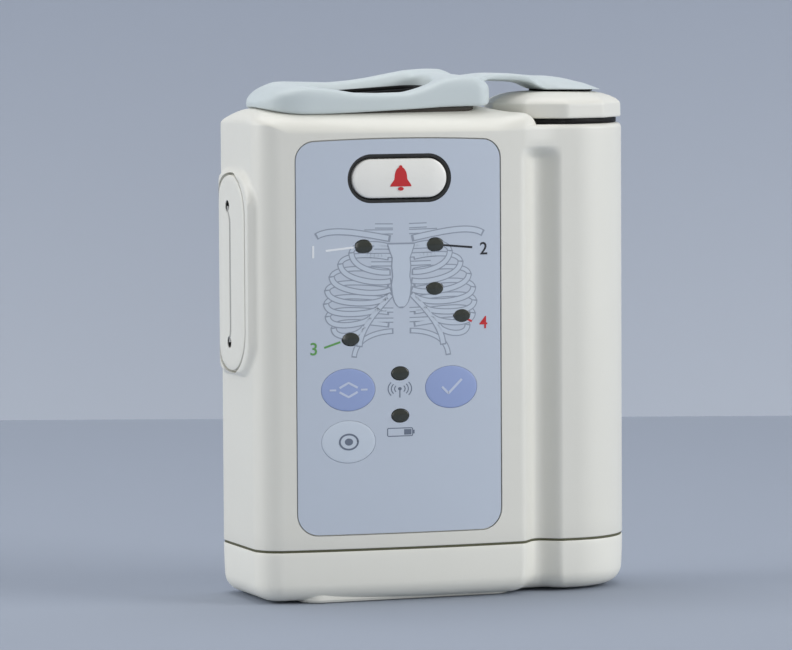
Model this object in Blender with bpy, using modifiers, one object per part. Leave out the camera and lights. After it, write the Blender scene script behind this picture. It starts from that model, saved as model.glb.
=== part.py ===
"""A patient-worn heart-signal transmitter with a two-cell battery tube, modelled as separate pieces.

The frame is in metres with +Z up. The pack stands on the pad of its bottom cover: the origin is the
middle of the footprint, the front with the keys faces -Y, and the battery tube is at +X.
"""

import math

import bmesh
import bpy
from mathutils import Matrix

# Clearances shared by pieces that meet
GAP = 0.0003
OVERRUN = 0.004
WELD = 1e-7

# Case: a main block and a half-round battery tube, split at the seam
BODY_WIDTH = 0.0970
BODY_DEPTH = 0.0380
BODY_TOP = 0.1169
BODY_BOTTOM = 0.0010
MAIN_END_FROM_TUBE_AXIS = 0.0103
CORNER_RADIUS = 0.0070
INNER_END_RADIUS = 0.0056
CROWN_DROP = 0.0035
CROWN_SPAN = 0.0450
CROWN_APEX_FROM_LEFT = 0.0538
TUBE_RADIUS = 0.0174
TUBE_TOP = 0.1134
TUBE_BOTTOM = 0.0015
WALL = 0.0020
TOP_ROUND = 0.0040
TUBE_TOP_ROUND = 0.0012
BOTTOM_ROUND = 0.0050
INNER_ROUND = 0.0020
SEAM_HEIGHT = 0.0130
SEAM_GAP = 0.0004

# Finger grooves between the main block and the tube, front and back
GROOVE_RADIUS = 0.0062
GROOVE_FROM_TUBE_AXIS = 0.0092
GROOVE_AXIS_OUTSIDE = 0.0016
GROOVE_TOP = 0.1070
GROOVE_END_ROUND = 0.0050
GROOVE_WALL = 0.0014

# Pad under the bottom cover
FOOT_LEFT_INSET = 0.0088
FOOT_RIGHT_INSET = 0.0070
FOOT_DEPTH = 0.0250
FOOT_CORNER = 0.0050
FOOT_CHAMFER = 0.0007

# Seam gasket, held in a rebate of both case halves
GASKET_INSET = 0.0010
GASKET_WIDTH = 0.0009
GASKET_HEIGHT = 0.0010

# Side cover on its raised boss
BOSS_PROUD = 0.0010
BOSS_WIDTH = 0.0262
BOSS_HEIGHT = 0.0500
BOSS_ROUND = 0.0009
COVER_WIDTH = 0.0208
COVER_HEIGHT = 0.0468
COVER_CENTRE_Y = 0.0032
COVER_CENTRE_Z = 0.0784
COVER_THICKNESS = 0.0012
COVER_END_RADIUS = 0.0085
COVER_SCREW_SPACING = 0.0330
COVER_SCREW_FROM_CENTRE = 0.0020
COVER_SCREW_RADIUS = 0.0008
COVER_SCREW_LENGTH = 0.0026
COVER_SCREW_SUNK = 0.0004
SCORE_WIDTH = 0.0003
SCORE_DEPTH = 0.0003

# Service connector behind the side cover
CONNECTOR_WIDTH = 0.0120
CONNECTOR_HEIGHT = 0.0140
CONNECTOR_DEPTH = 0.0040
CONNECTOR_MOUTH_WALL = 0.0012
CONNECTOR_MOUTH_DEPTH = 0.0026

# Overlay with the prints, its windows and keys
OVERLAY_FROM_LEFT = 0.0086
OVERLAY_FROM_RIGHT = 0.0097
OVERLAY_HEIGHT = 0.0939
OVERLAY_BOTTOM = 0.0166
OVERLAY_TOP_CORNER = 0.0045
OVERLAY_BOTTOM_CORNER = 0.0060
OVERLAY_TOP_ARCH = 0.0005
OVERLAY_SUNK = 0.0001
OVERLAY_THICKNESS = 0.0005
WINDOW_WIDTH = 0.0042
WINDOW_HEIGHT = 0.0031
WINDOW_PLACE_SHARES = (
    (-0.361, 0.7304),
    (0.337, 0.7304),
    (0.318, 0.6200),
    (0.592, 0.5487),
    (-0.490, 0.4965),
    (-0.015, 0.4054),
    (-0.015, 0.2990),
)
KEY_WIDTH = 0.0131
KEY_HEIGHT = 0.0101
KEY_THICKNESS = 0.0020
KEY_TRAVEL = 0.0004
KEY_NUB_RADIUS = 0.0020
KEY_PLACE_SHARES = {
    "select_key": (-0.514, 0.367),
    "check_key": (0.498, 0.367),
    "record_key": (-0.514, 0.235),
}
DOME_RADIUS = 0.0030
DOME_THICKNESS = 0.0005

# Call button in its dark bezel
BUTTON_WIDTH = 0.0233
BUTTON_HEIGHT = 0.0093
BUTTON_PLACE_SHARE = 0.900
BUTTON_PROUD = 0.0003
BUTTON_THICKNESS = 0.0032
BUTTON_FLANGE_RIM = 0.0012
BUTTON_FLANGE_THICKNESS = 0.0009
BUTTON_TRAVEL = 0.0008
BEZEL_VISIBLE_RIM = 0.0010
BEZEL_HIDDEN_RIM = 0.0012
BEZEL_THICKNESS = 0.0015
SWITCH_WIDTH = 0.0060
SWITCH_HEIGHT = 0.0050

# Battery cells, their sleeve and contacts
CELL_RADIUS = 0.00725
CELL_LENGTH = 0.0505
CELL_NUB_RADIUS = 0.00275
CELL_NUB_HEIGHT = 0.0012
CELL_SHOULDER_SHARE = 0.96
SLEEVE_WALL = 0.0008
SLEEVE_FLOOR = 0.0012
SLEEVE_TOP_SHORT = 0.0014
CONTACT_THICKNESS = 0.0006
SPRING_WIRE_RADIUS = 0.0003
SPRING_RADIUS = 0.0032

# Battery cap with its plug, lugs and gasket
CAP_AXIS_FROM_TUBE_AXIS = 0.0009
CAP_RADIUS = 0.0166
CAP_SIDES = 10
CAP_FACETS_TURNED_DEG = 8.3
CAP_EDGE_HEIGHT = 0.0033
CAP_CROWN_HEIGHT = 0.0032
CAP_SEAT = 0.0011
CAP_GASKET_RADIUS = 0.0154
CAP_SIDE_CLEARANCE = 0.0006
PLUG_RADIUS = 0.0145
PLUG_SIDE_CLEARANCE = 0.0004
LUG_REACH = 0.0006
LUG_HEIGHT = 0.0015
LUG_SPAN_DEG = 26
SLOT_SPAN_DEG = 36
CAP_TURN_DEG = 90
CAP_RISE = 0.0012
LIP_THICKNESS = 0.0021
CHANNEL_CLEARANCE = 0.0003
CAP_HOLLOW_RADIUS = 0.0050
CAP_ROOF = 0.0020
CAP_CONTACT_RADIUS = 0.0130
CAP_CONTACT_THICKNESS = 0.0005
CAP_BORE_RADIUS = 0.0025

# Rubber strap on the case top, from its pad to the disc on the cap
STRAP_LEFT_INSET = 0.0023
STRAP_RIGHT_INSET = 0.0085
STRAP_WIDTH = 0.0240
STRAP_END_RADIUS = 0.0118
STRAP_POST_RADIUS = 0.0040
STRAP_PEAK_HEIGHT = 0.0091
STRAP_POST_HEIGHT = 0.0080
STRAP_LIFT = 0.0010
STRAP_HOLE_FROM_LEFT = 0.0160
STRAP_HOLE_FROM_RIGHT = 0.0119
STRAP_HOLE_WIDTH = 0.0116
TONGUE_WIDTH = 0.0110
TONGUE_THICKNESS = 0.0018
TONGUE_SAG = 0.0004
TONGUE_TOP_SHARES = ((0, 0), (0.35, 0), (0.7, 0.33), (1, 1))
TONGUE_UNDER_SHARES = ((0.82, 1), (0.5, 0.33), (0, 0))
DISC_FROM_CAP_AXIS = 0.0029
DISC_RADIUS = 0.0086
DISC_RIM = 0.0007
DISC_HEIGHT = 0.0036
DISC_PROFILE_SHARES = ((0, 1), (0.12, 0.98), (0.3, 0.9), (0.55, 0.72), (0.75, 0.5), (0.9, 0.33), (1, 0.2))
STEM_RADIUS = 0.0021
STEM_HEAD_RADIUS = 0.0034
STEM_HEAD_HEIGHT = 0.0020
STRAP_SCREW_SPACING = 0.0100
STRAP_SCREW_FROM_LEFT = 0.0085
STRAP_SCREW_DEPTH = 0.0030

# Lead socket under the strap's opening
SOCKET_END_INSET = 0.0033
SOCKET_WIDTH = 0.0092
SOCKET_PROUD = 0.0047
SOCKET_HEIGHT = 0.0170
SOCKET_FLANGE = 0.0014
SOCKET_FLANGE_THICKNESS = 0.0016
SOCKET_MOUTH_WALL = 0.0014
SOCKET_MOUTH_DEPTH = 0.0110
PIN_COUNT = 5
PIN_RADIUS = 0.0008
PIN_HEIGHT = 0.0042
PIN_END_INSET = 0.0022

# Circuit boards and what they carry
BOARD_SETBACK = 0.0070
BOARD_THICKNESS = 0.0016
BOARD_LEFT_INSET = 0.0065
BOARD_RIGHT_INSET = 0.0103
BOARD_LOW = 0.0240
BOARD_HIGH = 0.1000
LAMP_SIZE = 0.0020
LAMP_HEIGHT = 0.0008
STANDOFF_RADIUS = 0.0022
STANDOFF_INSET = 0.0040
SHIELD_WIDTH = 0.0270
SHIELD_HEIGHT = 0.0310
SHIELD_DEPTH = 0.0042
BEEPER_RADIUS = 0.0060
BEEPER_DEPTH = 0.0030
ANTENNA_WIDTH = 0.0080
ANTENNA_HEIGHT = 0.0300
ANTENNA_THICKNESS = 0.0004

# Screws
SCREW_HEAD_RADIUS = 0.0020
SCREW_HEAD_HEIGHT = 0.0015
SCREW_SHANK_RADIUS = 0.0011
SCREW_CLEARANCE = 0.0004
SCREW_RECESS_SHARE = 0.5
SCREW_PULL_UP = 0.0075
SCREW_BLOCK_WIDTH = 0.0062
SCREW_BLOCK_HEIGHT = 0.0090
CORNER_SCREW_INSET = 0.0072
CORNER_SCREW_FROM_FACE = 0.0105
TUBE_SCREW_INSET = 0.0088
TUBE_SCREW_FROM_SIDE = 0.0095
DRIVE_SLOT_WIDTH = 0.0006
DRIVE_SLOT_DEPTH = 0.0006

# Facets
ARC_SEGMENTS = 6
CROWN_SEGMENTS = 10
TUBE_SIDES = 48
ROUND_SIDES = 24
SMALL_SIDES = 12

# Places worked out from the sizes above
LEFT = BOSS_PROUD - (BODY_WIDTH + BOSS_PROUD) / 2
RIGHT = LEFT + BODY_WIDTH
FRONT = -BODY_DEPTH / 2
BACK = BODY_DEPTH / 2
CROWN_APEX = LEFT + CROWN_APEX_FROM_LEFT
TUBE_X = RIGHT - TUBE_RADIUS
MAIN_RIGHT = TUBE_X - MAIN_END_FROM_TUBE_AXIS
GROOVE_X = TUBE_X - GROOVE_FROM_TUBE_AXIS
GROOVE_Y = BACK + GROOVE_AXIS_OUTSIDE
FOOT_WIDTH = MAIN_RIGHT - FOOT_RIGHT_INSET - LEFT - FOOT_LEFT_INSET
OVERLAY_WIDTH = MAIN_RIGHT - OVERLAY_FROM_RIGHT - LEFT - OVERLAY_FROM_LEFT
OVERLAY_X = LEFT + OVERLAY_FROM_LEFT + OVERLAY_WIDTH / 2
OVERLAY_Z = OVERLAY_BOTTOM + OVERLAY_HEIGHT / 2
RECESS_DEPTH = OVERLAY_SUNK + OVERLAY_THICKNESS + GAP
BUTTON_Z = OVERLAY_BOTTOM + BUTTON_PLACE_SHARE * OVERLAY_HEIGHT
BEZEL_FACE = RECESS_DEPTH
BUTTON_FLANGE_FACE = BEZEL_FACE + BEZEL_THICKNESS + GAP
CAP_X = TUBE_X + CAP_AXIS_FROM_TUBE_AXIS
CAP_LOW = TUBE_TOP + CAP_SEAT
DISC_X = CAP_X + DISC_FROM_CAP_AXIS
CAP_TOP = CAP_LOW + CAP_EDGE_HEIGHT + CAP_CROWN_HEIGHT
LIP_UNDER = TUBE_TOP - LIP_THICKNESS
PLUG_LOW = LIP_UNDER - GAP - CAP_RISE - LUG_HEIGHT
CHANNEL_LOW = PLUG_LOW - CHANNEL_CLEARANCE
CHANNEL_RADIUS = PLUG_RADIUS + LUG_REACH + PLUG_SIDE_CLEARANCE
MOUTH_RADIUS = PLUG_RADIUS + PLUG_SIDE_CLEARANCE
CAP_ROOM_RADIUS = CAP_RADIUS + CAP_SIDE_CLEARANCE
NECK_LOW = CHANNEL_LOW - (TUBE_RADIUS - CHANNEL_RADIUS)
CELL_TOP = PLUG_LOW - 2 * GAP - CAP_CONTACT_THICKNESS
CELL_LOW = CELL_TOP - CELL_LENGTH
CELL_Y = CELL_RADIUS + GAP / 2
SLEEVE_RADIUS = CELL_RADIUS + GAP + SLEEVE_WALL
SLEEVE_LOW = CELL_LOW - 2 * GAP - CONTACT_THICKNESS - SLEEVE_FLOOR
STRAP_LOW = BODY_TOP + GAP
STRAP_LEFT = LEFT + STRAP_LEFT_INSET
STRAP_RIGHT = MAIN_RIGHT - STRAP_RIGHT_INSET
STRAP_LENGTH = STRAP_RIGHT - STRAP_LEFT
STRAP_HOLE_LENGTH = STRAP_LENGTH - STRAP_HOLE_FROM_LEFT - STRAP_HOLE_FROM_RIGHT
STRAP_HOLE_X = STRAP_LEFT + STRAP_HOLE_FROM_LEFT + STRAP_HOLE_LENGTH / 2
SOCKET_X = STRAP_HOLE_X
SOCKET_LENGTH = STRAP_HOLE_LENGTH - 2 * SOCKET_END_INSET
PIN_SPACING = (SOCKET_LENGTH - 2 * SOCKET_MOUTH_WALL - 2 * PIN_END_INSET) / (PIN_COUNT - 1)
SOCKET_TOP = BODY_TOP + SOCKET_PROUD
BOARD_FRONT_Y = FRONT + BOARD_SETBACK
BOARD_WIDTH = MAIN_RIGHT - BOARD_RIGHT_INSET - LEFT - BOARD_LEFT_INSET
BOARD_X = LEFT + BOARD_LEFT_INSET + BOARD_WIDTH / 2
BOARD_BACK_Y = BOARD_FRONT_Y + BOARD_THICKNESS
COVER_FACE = LEFT - BOSS_PROUD
COVER_SCREW_Y = COVER_CENTRE_Y + COVER_SCREW_FROM_CENTRE
SEAM_LOW = SEAM_HEIGHT - SEAM_GAP / 2
SEAM_HIGH = SEAM_HEIGHT + SEAM_GAP / 2

PARTS = bpy.data.collections.new("heart_signal_transmitter")
CUTTERS = bpy.data.collections.new("cutters")


def clear_scene():
    """Removes what the startup scene holds and links the two collections."""
    for obj in list(bpy.data.objects):
        bpy.data.objects.remove(obj, do_unlink=True)
    for collection in (PARTS, CUTTERS):
        bpy.context.scene.collection.children.link(collection)
    CUTTERS.hide_render = True


def material(name, colour, roughness, metallic=0.0, alpha=1.0):
    """A Principled material with one plain colour."""
    made = bpy.data.materials.new(name)
    made.use_nodes = True
    shader = made.node_tree.nodes["Principled BSDF"]
    shader.inputs["Base Color"].default_value = (*colour, 1.0)
    shader.inputs["Roughness"].default_value = roughness
    shader.inputs["Metallic"].default_value = metallic
    shader.inputs["Alpha"].default_value = alpha
    return made


# Outlines: lists of points in the plane of the sketch

def arc(cx, cy, radius, start_deg, end_deg, segments=ARC_SEGMENTS):
    """Points along an arc, both ends included."""
    angles = [math.radians(start_deg + (end_deg - start_deg) * i / segments) for i in range(segments + 1)]
    return [(cx + radius * math.cos(a), cy + radius * math.sin(a)) for a in angles]


def ellipse(cx, cy, width, height, sides=ROUND_SIDES):
    """An ellipse as a polygon."""
    angles = [2 * math.pi * i / sides for i in range(sides)]
    return [(cx + width / 2 * math.cos(a), cy + height / 2 * math.sin(a)) for a in angles]


def rounded_rectangle(cx, cy, width, height, radius, segments=ARC_SEGMENTS):
    """A rectangle with the same round at each corner, counter-clockwise from its lower right."""
    right, top = width / 2 - radius, height / 2 - radius
    points = []
    for sx, sy, start in ((1, -1, -90), (1, 1, 0), (-1, 1, 90), (-1, -1, 180)):
        points += arc(cx + sx * right, cy + sy * top, radius, start, start + 90, segments)
    return points


def pill(cx, cy, width, height):
    """A stadium with half-round ends to the left and right."""
    straight = (width - height) / 2
    return arc(cx + straight, cy, height / 2, -90, 90, 2 * ARC_SEGMENTS) + arc(
        cx - straight, cy, height / 2, 90, 270, 2 * ARC_SEGMENTS
    )


def upright_pill(cx, cy, radius, half_straight):
    """A stadium with half-round ends along the sketch's second axis."""
    return arc(cx, cy + half_straight, radius, 0, 180, 2 * ARC_SEGMENTS) + arc(
        cx, cy - half_straight, radius, 180, 360, 2 * ARC_SEGMENTS
    )


def crown_y(x):
    """Where the gently crowned front face lies at x."""
    return FRONT + CROWN_DROP * ((x - CROWN_APEX) / CROWN_SPAN) ** 2


def crown_slope(x):
    """The front face's slope at x."""
    return 2 * CROWN_DROP * (x - CROWN_APEX) / CROWN_SPAN**2


def main_outline(inset, right=MAIN_RIGHT):
    """The main block from above: crowned front, flat back, round left corners, inset by a wall."""
    radius = CORNER_RADIUS - inset
    centre_x = LEFT + inset + radius
    lean = math.degrees(math.atan(abs(crown_slope(centre_x))))
    end_x = centre_x - radius * math.sin(math.radians(lean))
    centre_y = crown_y(end_x) + inset + radius * math.cos(math.radians(lean))
    front_corner = arc(centre_x, centre_y, radius, 180, 270 - lean)
    last = right - INNER_END_RADIUS
    front = []
    for i in range(1, CROWN_SEGMENTS):
        x = end_x + (last - end_x) * i / CROWN_SEGMENTS
        front.append((x, crown_y(x) + inset))
    low = crown_y(last) + inset
    right_front = arc(last, low + INNER_END_RADIUS, INNER_END_RADIUS, -90, 0, 3)
    high = BACK - inset
    right_back = arc(last, high - INNER_END_RADIUS, INNER_END_RADIUS, 0, 90, 3)
    back_corner = arc(centre_x, high - radius, radius, 90, 180)
    return front_corner + front + right_front + right_back + back_corner


def tube_outline(inset):
    """The tube and the block that joins it to the main block, from above, inset by a wall."""
    radius = TUBE_RADIUS - inset
    inner = TUBE_X - TUBE_RADIUS - GROOVE_FROM_TUBE_AXIS + inset
    return arc(TUBE_X, 0, radius, -90, 90, TUBE_SIDES // 2) + [(inner, radius), (inner, -radius)]


def overlay_outline(grow=0.0):
    """The overlay's outline on the front: rounder below, with a slightly arched top edge."""
    half = OVERLAY_WIDTH / 2 + grow
    low, high = OVERLAY_BOTTOM - grow, OVERLAY_BOTTOM + OVERLAY_HEIGHT + grow
    below, above = OVERLAY_BOTTOM_CORNER + grow, OVERLAY_TOP_CORNER + grow
    shoulder = high - OVERLAY_TOP_ARCH
    points = arc(OVERLAY_X + half - below, low + below, below, -90, 0)
    points += arc(OVERLAY_X + half - above, shoulder - above, above, 0, 84)
    points += [(OVERLAY_X, high)]
    points += arc(OVERLAY_X - half + above, shoulder - above, above, 96, 180)
    points += arc(OVERLAY_X - half + below, low + below, below, 180, 270)
    return points


# Solids

AXES = {
    "X": Matrix(((0, 0, 1), (1, 0, 0), (0, 1, 0))).to_4x4(),
    "Y": Matrix(((1, 0, 0), (0, 0, -1), (0, 1, 0))).to_4x4(),
    "Z": Matrix.Identity(4),
}


def add_object(name, mesh, collection, finish=None):
    """A mesh object in a collection, with its material."""
    obj = bpy.data.objects.new(name, mesh)
    if finish is not None:
        mesh.materials.append(finish)
    if collection is CUTTERS:
        obj.hide_render = True
        obj.display_type = "WIRE"
    collection.objects.link(obj)
    return obj


def tidy(mesh):
    """Welds loose caps, makes flat caps one face and turns all faces outwards."""
    work = bmesh.new()
    work.from_mesh(mesh)
    bmesh.ops.remove_doubles(work, verts=work.verts, dist=WELD)
    bmesh.ops.dissolve_limit(work, angle_limit=0.001, verts=work.verts, edges=work.edges)
    bmesh.ops.recalc_face_normals(work, faces=work.faces)
    work.to_mesh(mesh)
    work.free()


def prism(name, outline, low, high, axis="Z", collection=None, finish=None):
    """A flat outline extruded along an axis, from a filled 2D curve made into a mesh."""
    curve = bpy.data.curves.new(name, "CURVE")
    curve.dimensions = "2D"
    curve.fill_mode = "BOTH"
    curve.extrude = (high - low) / 2
    line = curve.splines.new("POLY")
    line.points.add(len(outline) - 1)
    for point, (a, b) in zip(line.points, outline):
        point.co = (a, b, 0, 1)
    line.use_cyclic_u = True
    sketch = bpy.data.objects.new(name, curve)
    bpy.context.scene.collection.objects.link(sketch)
    graph = bpy.context.evaluated_depsgraph_get()
    mesh = bpy.data.meshes.new_from_object(sketch.evaluated_get(graph))
    bpy.data.objects.remove(sketch, do_unlink=True)
    bpy.data.curves.remove(curve)
    mid = Matrix.Translation((0, 0, (low + high) / 2))
    turn = AXES[axis]
    if axis == "Y":
        mid = Matrix.Translation((0, 0, -(low + high) / 2))
    mesh.transform(turn @ mid)
    tidy(mesh)
    mesh.name = name
    return add_object(name, mesh, collection or CUTTERS, finish)


def box(name, low, high, collection=None, finish=None):
    """A cuboid between two corners."""
    mesh = bpy.data.meshes.new(name)
    work = bmesh.new()
    bmesh.ops.create_cube(work, size=1.0)
    size = [h - l for l, h in zip(low, high)]
    middle = [(l + h) / 2 for l, h in zip(low, high)]
    bmesh.ops.transform(work, matrix=Matrix.Translation(middle) @ Matrix.Diagonal((*size, 1)), verts=work.verts)
    work.to_mesh(mesh)
    work.free()
    return add_object(name, mesh, collection or CUTTERS, finish)


def rod(name, centre, radius, low, high, axis="Z", sides=ROUND_SIDES, collection=None, finish=None):
    """A round bar: centre holds the two coordinates across its axis."""
    return prism(name, ellipse(*centre, 2 * radius, 2 * radius, sides), low, high, axis, collection, finish)


def turned(name, profile, place, finish, sides=ROUND_SIDES, collection=None):
    """A turned piece: a profile of (radius, height) points, top to bottom, spun by a Screw modifier."""
    mesh = bpy.data.meshes.new(name)
    work = bmesh.new()
    points = [work.verts.new((radius, 0, height)) for radius, height in profile]
    for a, b in zip(points, points[1:]):
        work.edges.new((a, b))
    work.to_mesh(mesh)
    work.free()
    obj = add_object(name, mesh, collection or PARTS, finish)
    obj.location = place
    spin = obj.modifiers.new("spin", "SCREW")
    spin.steps = sides
    spin.render_steps = sides
    spin.use_merge_vertices = True
    spin.merge_threshold = WELD
    smooth(obj)
    return obj


def smooth(obj, angle_deg=35):
    """Smooth shading with sharp edges kept."""
    obj.data.shade_smooth()
    obj.data.set_sharp_from_angle(angle=math.radians(angle_deg))


def boolean(obj, other, operation):
    """A Boolean modifier with the exact solver."""
    step = obj.modifiers.new(other.name, "BOOLEAN")
    step.operation = operation
    step.object = other
    step.solver = "EXACT"
    return obj


def cut(obj, *others):
    """Takes the other shapes away from an object."""
    for other in others:
        boolean(obj, other, "DIFFERENCE")
    return obj


def join(obj, *others):
    """Adds the other shapes to an object."""
    for other in others:
        boolean(obj, other, "UNION")
    return obj


def keep_inside(obj, other):
    """Keeps what an object shares with the other shape."""
    return boolean(obj, other, "INTERSECT")


def round_rim(obj, height, width, segments):
    """Rounds the rim of a prism at one height."""
    weights = obj.data.attributes.new("bevel_weight_edge", "FLOAT", "EDGE")
    for edge in obj.data.edges:
        ends = [obj.data.vertices[i].co.z for i in edge.vertices]
        if max(abs(z - height) for z in ends) < WELD * 10:
            weights.data[edge.index].value = 1.0
    step = obj.modifiers.new("rim", "BEVEL")
    step.limit_method = "WEIGHT"
    step.width = width
    step.segments = segments
    step.use_clamp_overlap = False
    return obj


def bevel(obj, width, segments=2, angle_deg=50):
    """Rounds the sharp edges of an object."""
    step = obj.modifiers.new("edges", "BEVEL")
    step.limit_method = "ANGLE"
    step.angle_limit = math.radians(angle_deg)
    step.width = width
    step.segments = segments
    return obj


def at_axis(obj, point):
    """Moves the origin to a point on the joint's axis, with the shape left where it is."""
    obj.data.transform(Matrix.Translation(point).inverted())
    obj.location = point
    return obj


def crown_band(name, near, far=None, back=None):
    """A slab that follows the crowned front, from an inset to a deeper inset or to a flat back."""
    left, right = LEFT - OVERRUN, MAIN_RIGHT + OVERRUN
    xs = [left + (right - left) * i / (2 * CROWN_SEGMENTS) for i in range(2 * CROWN_SEGMENTS + 1)]
    front = [(x, crown_y(x) + near) for x in xs]
    if back is None:
        rear = [(x, crown_y(x) + far) for x in reversed(xs)]
    else:
        rear = [(xs[-1], back), (xs[0], back)]
    return prism(name, front + rear, BODY_BOTTOM, BODY_TOP)


def overlay_place(x_share, z_share):
    """A place on the overlay from its shares of the half width and the height."""
    return OVERLAY_X + x_share * OVERLAY_WIDTH / 2, OVERLAY_BOTTOM + z_share * OVERLAY_HEIGHT


# The case

def groove_cutters(prefix, grow, low, top):
    """The two finger grooves, or the cores that keep a wall round them."""
    made = []
    for side, sign in (("front", -1), ("back", 1)):
        cutter = rod(f"{prefix}_{side}", (GROOVE_X, sign * GROOVE_Y), GROOVE_RADIUS + grow, low, top)
        made.append(round_rim(cutter, top, GROOVE_END_ROUND, 3))
    return made


def case_block(name, inset, low, high_main, high_tube, collection=None, finish=None, right=MAIN_RIGHT):
    """The main block and the tube block between their heights, as two overlapping prisms."""
    main = prism(name, main_outline(inset, right), low, high_main, "Z", collection, finish)
    tube = prism(f"{name}_tube", tube_outline(inset), low, high_tube)
    return main, tube


def screw_places():
    """Where the four case screws stand, seen from above, with the wall side of each."""
    corner_x = LEFT + CORNER_SCREW_INSET
    tube_x = RIGHT - TUBE_SCREW_INSET
    return (
        (corner_x, FRONT + CORNER_SCREW_FROM_FACE, -1),
        (corner_x, BACK - CORNER_SCREW_FROM_FACE, -1),
        (tube_x, TUBE_SCREW_FROM_SIDE - TUBE_RADIUS, 1),
        (tube_x, TUBE_RADIUS - TUBE_SCREW_FROM_SIDE, 1),
    )


def screw_blocks(prefix, low, high):
    """Blocks from the case wall that hold the case screws."""
    made = []
    half = SCREW_BLOCK_WIDTH / 2
    for i, (x, y, side) in enumerate(screw_places(), 1):
        reach = CORNER_SCREW_INSET if side < 0 else TUBE_SCREW_INSET
        ends = sorted((x - side * half, x + side * reach))
        made.append(box(f"{prefix}_{i}", (ends[0], y - half, low), (ends[1], y + half, high)))
    return made


def rebate(name):
    """The space for the seam gasket in both case halves."""
    low = SEAM_HEIGHT - GASKET_HEIGHT / 2 - GAP
    high = SEAM_HEIGHT + GASKET_HEIGHT / 2 + GAP
    main, tube = case_block(name, GASKET_INSET - GAP, low, high, high)
    join(main, tube)
    return cut(main, *groove_cutters(f"{name}_groove", GASKET_INSET - GAP, low - OVERRUN, high + OVERRUN))


def make_main_shell(plastic, shared):
    """The upper case with its cavity, battery mouth, recesses, holes and bosses."""
    shell, tube = case_block("main_shell", 0, SEAM_HIGH, BODY_TOP, TUBE_TOP, PARTS, plastic)
    round_rim(shell, BODY_TOP, TOP_ROUND, 4)
    round_rim(tube, TUBE_TOP, TUBE_TOP_ROUND, 2)
    boss = prism(
        "side_boss",
        rounded_rectangle(COVER_CENTRE_Y, COVER_CENTRE_Z, BOSS_WIDTH, BOSS_HEIGHT, COVER_END_RADIUS + BOSS_ROUND),
        COVER_FACE,
        LEFT + CORNER_RADIUS,
        "X",
    )
    bevel(boss, BOSS_ROUND, 2)
    join(shell, tube, boss)
    cut(shell, *groove_cutters("shell_groove", 0, BODY_BOTTOM - OVERRUN, GROOVE_TOP))

    core_right = CAP_X - CAP_ROOM_RADIUS - WALL
    core = prism("main_core", main_outline(WALL, core_right), SEAM_LOW - OVERRUN, BODY_TOP - WALL)
    round_rim(core, BODY_TOP - WALL, INNER_ROUND, 2)
    tube_core = prism("tube_core", tube_outline(WALL), SEAM_LOW - OVERRUN, NECK_LOW)
    core_walls = groove_cutters("core_wall", GROOVE_WALL, SEAM_LOW - 2 * OVERRUN, NECK_LOW + OVERRUN)
    join(core, tube_core)
    cut(core, *core_walls, *screw_blocks("shell_block", SEAM_LOW - 2 * OVERRUN, SEAM_HIGH + SCREW_BLOCK_HEIGHT))
    pocket = prism(
        "sleeve_pocket",
        upright_pill(TUBE_X, 0, SLEEVE_RADIUS + GAP, CELL_Y),
        SLEEVE_LOW - GAP,
        NECK_LOW,
    )
    cut(shell, *mouth_cutters(), core, pocket)

    join(shell, *standoffs())
    cut(shell, shared["rebate"], *shared["screw_holes"], *shared["peg_holes"])
    cut(shell, overlay_recess(), *front_holes(), *socket_hole(), *side_cover_recess(), *strap_screw_holes())
    smooth(shell)
    return shell


def mouth_cutters():
    """Room for the cap, the mouth with the channel under its lip, and two entry slots for the lugs."""
    profile = [
        (0, BODY_TOP + OVERRUN),
        (CAP_ROOM_RADIUS, BODY_TOP + OVERRUN),
        (CAP_ROOM_RADIUS, TUBE_TOP),
        (MOUTH_RADIUS, TUBE_TOP),
        (MOUTH_RADIUS, LIP_UNDER),
        (CHANNEL_RADIUS, LIP_UNDER),
        (CHANNEL_RADIUS, CHANNEL_LOW),
        (MOUTH_RADIUS, CHANNEL_LOW),
        (MOUTH_RADIUS, NECK_LOW - OVERRUN),
        (0, NECK_LOW - OVERRUN),
    ]
    mouth = turned("mouth", profile, (CAP_X, 0, 0), None, TUBE_SIDES, CUTTERS)
    slots = []
    for i, turn in enumerate((CAP_TURN_DEG, CAP_TURN_DEG + 180), 1):
        ring = arc(CAP_X, 0, CHANNEL_RADIUS, turn - SLOT_SPAN_DEG / 2, turn + SLOT_SPAN_DEG / 2)
        slots.append(prism(f"entry_slot_{i}", [(CAP_X, 0)] + ring, LIP_UNDER - GAP, TUBE_TOP + OVERRUN))
    return [mouth, *slots]


def standoff_places():
    """The four pegs that hold the main board, on the front wall."""
    half = BOARD_WIDTH / 2 - STANDOFF_INSET
    low, high = BOARD_LOW + STANDOFF_INSET, BOARD_HIGH - STANDOFF_INSET
    return [(BOARD_X + sx * half, z) for z in (low, high) for sx in (-1, 1)]


def standoffs():
    """Pegs from the front wall to the board."""
    made = []
    for i, (x, z) in enumerate(standoff_places(), 1):
        made.append(
            rod(f"standoff_{i}", (x, z), STANDOFF_RADIUS, crown_y(x) + WALL / 2, BOARD_FRONT_Y - GAP, "Y", SMALL_SIDES)
        )
    return made


def overlay_recess():
    """The shallow recess of the overlay, which follows the crown."""
    recess = prism("overlay_recess", overlay_outline(GAP), FRONT - OVERRUN, BOARD_FRONT_Y, "Y")
    band = crown_band("recess_band", -OVERRUN, far=RECESS_DEPTH)
    return keep_inside(recess, band)


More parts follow.
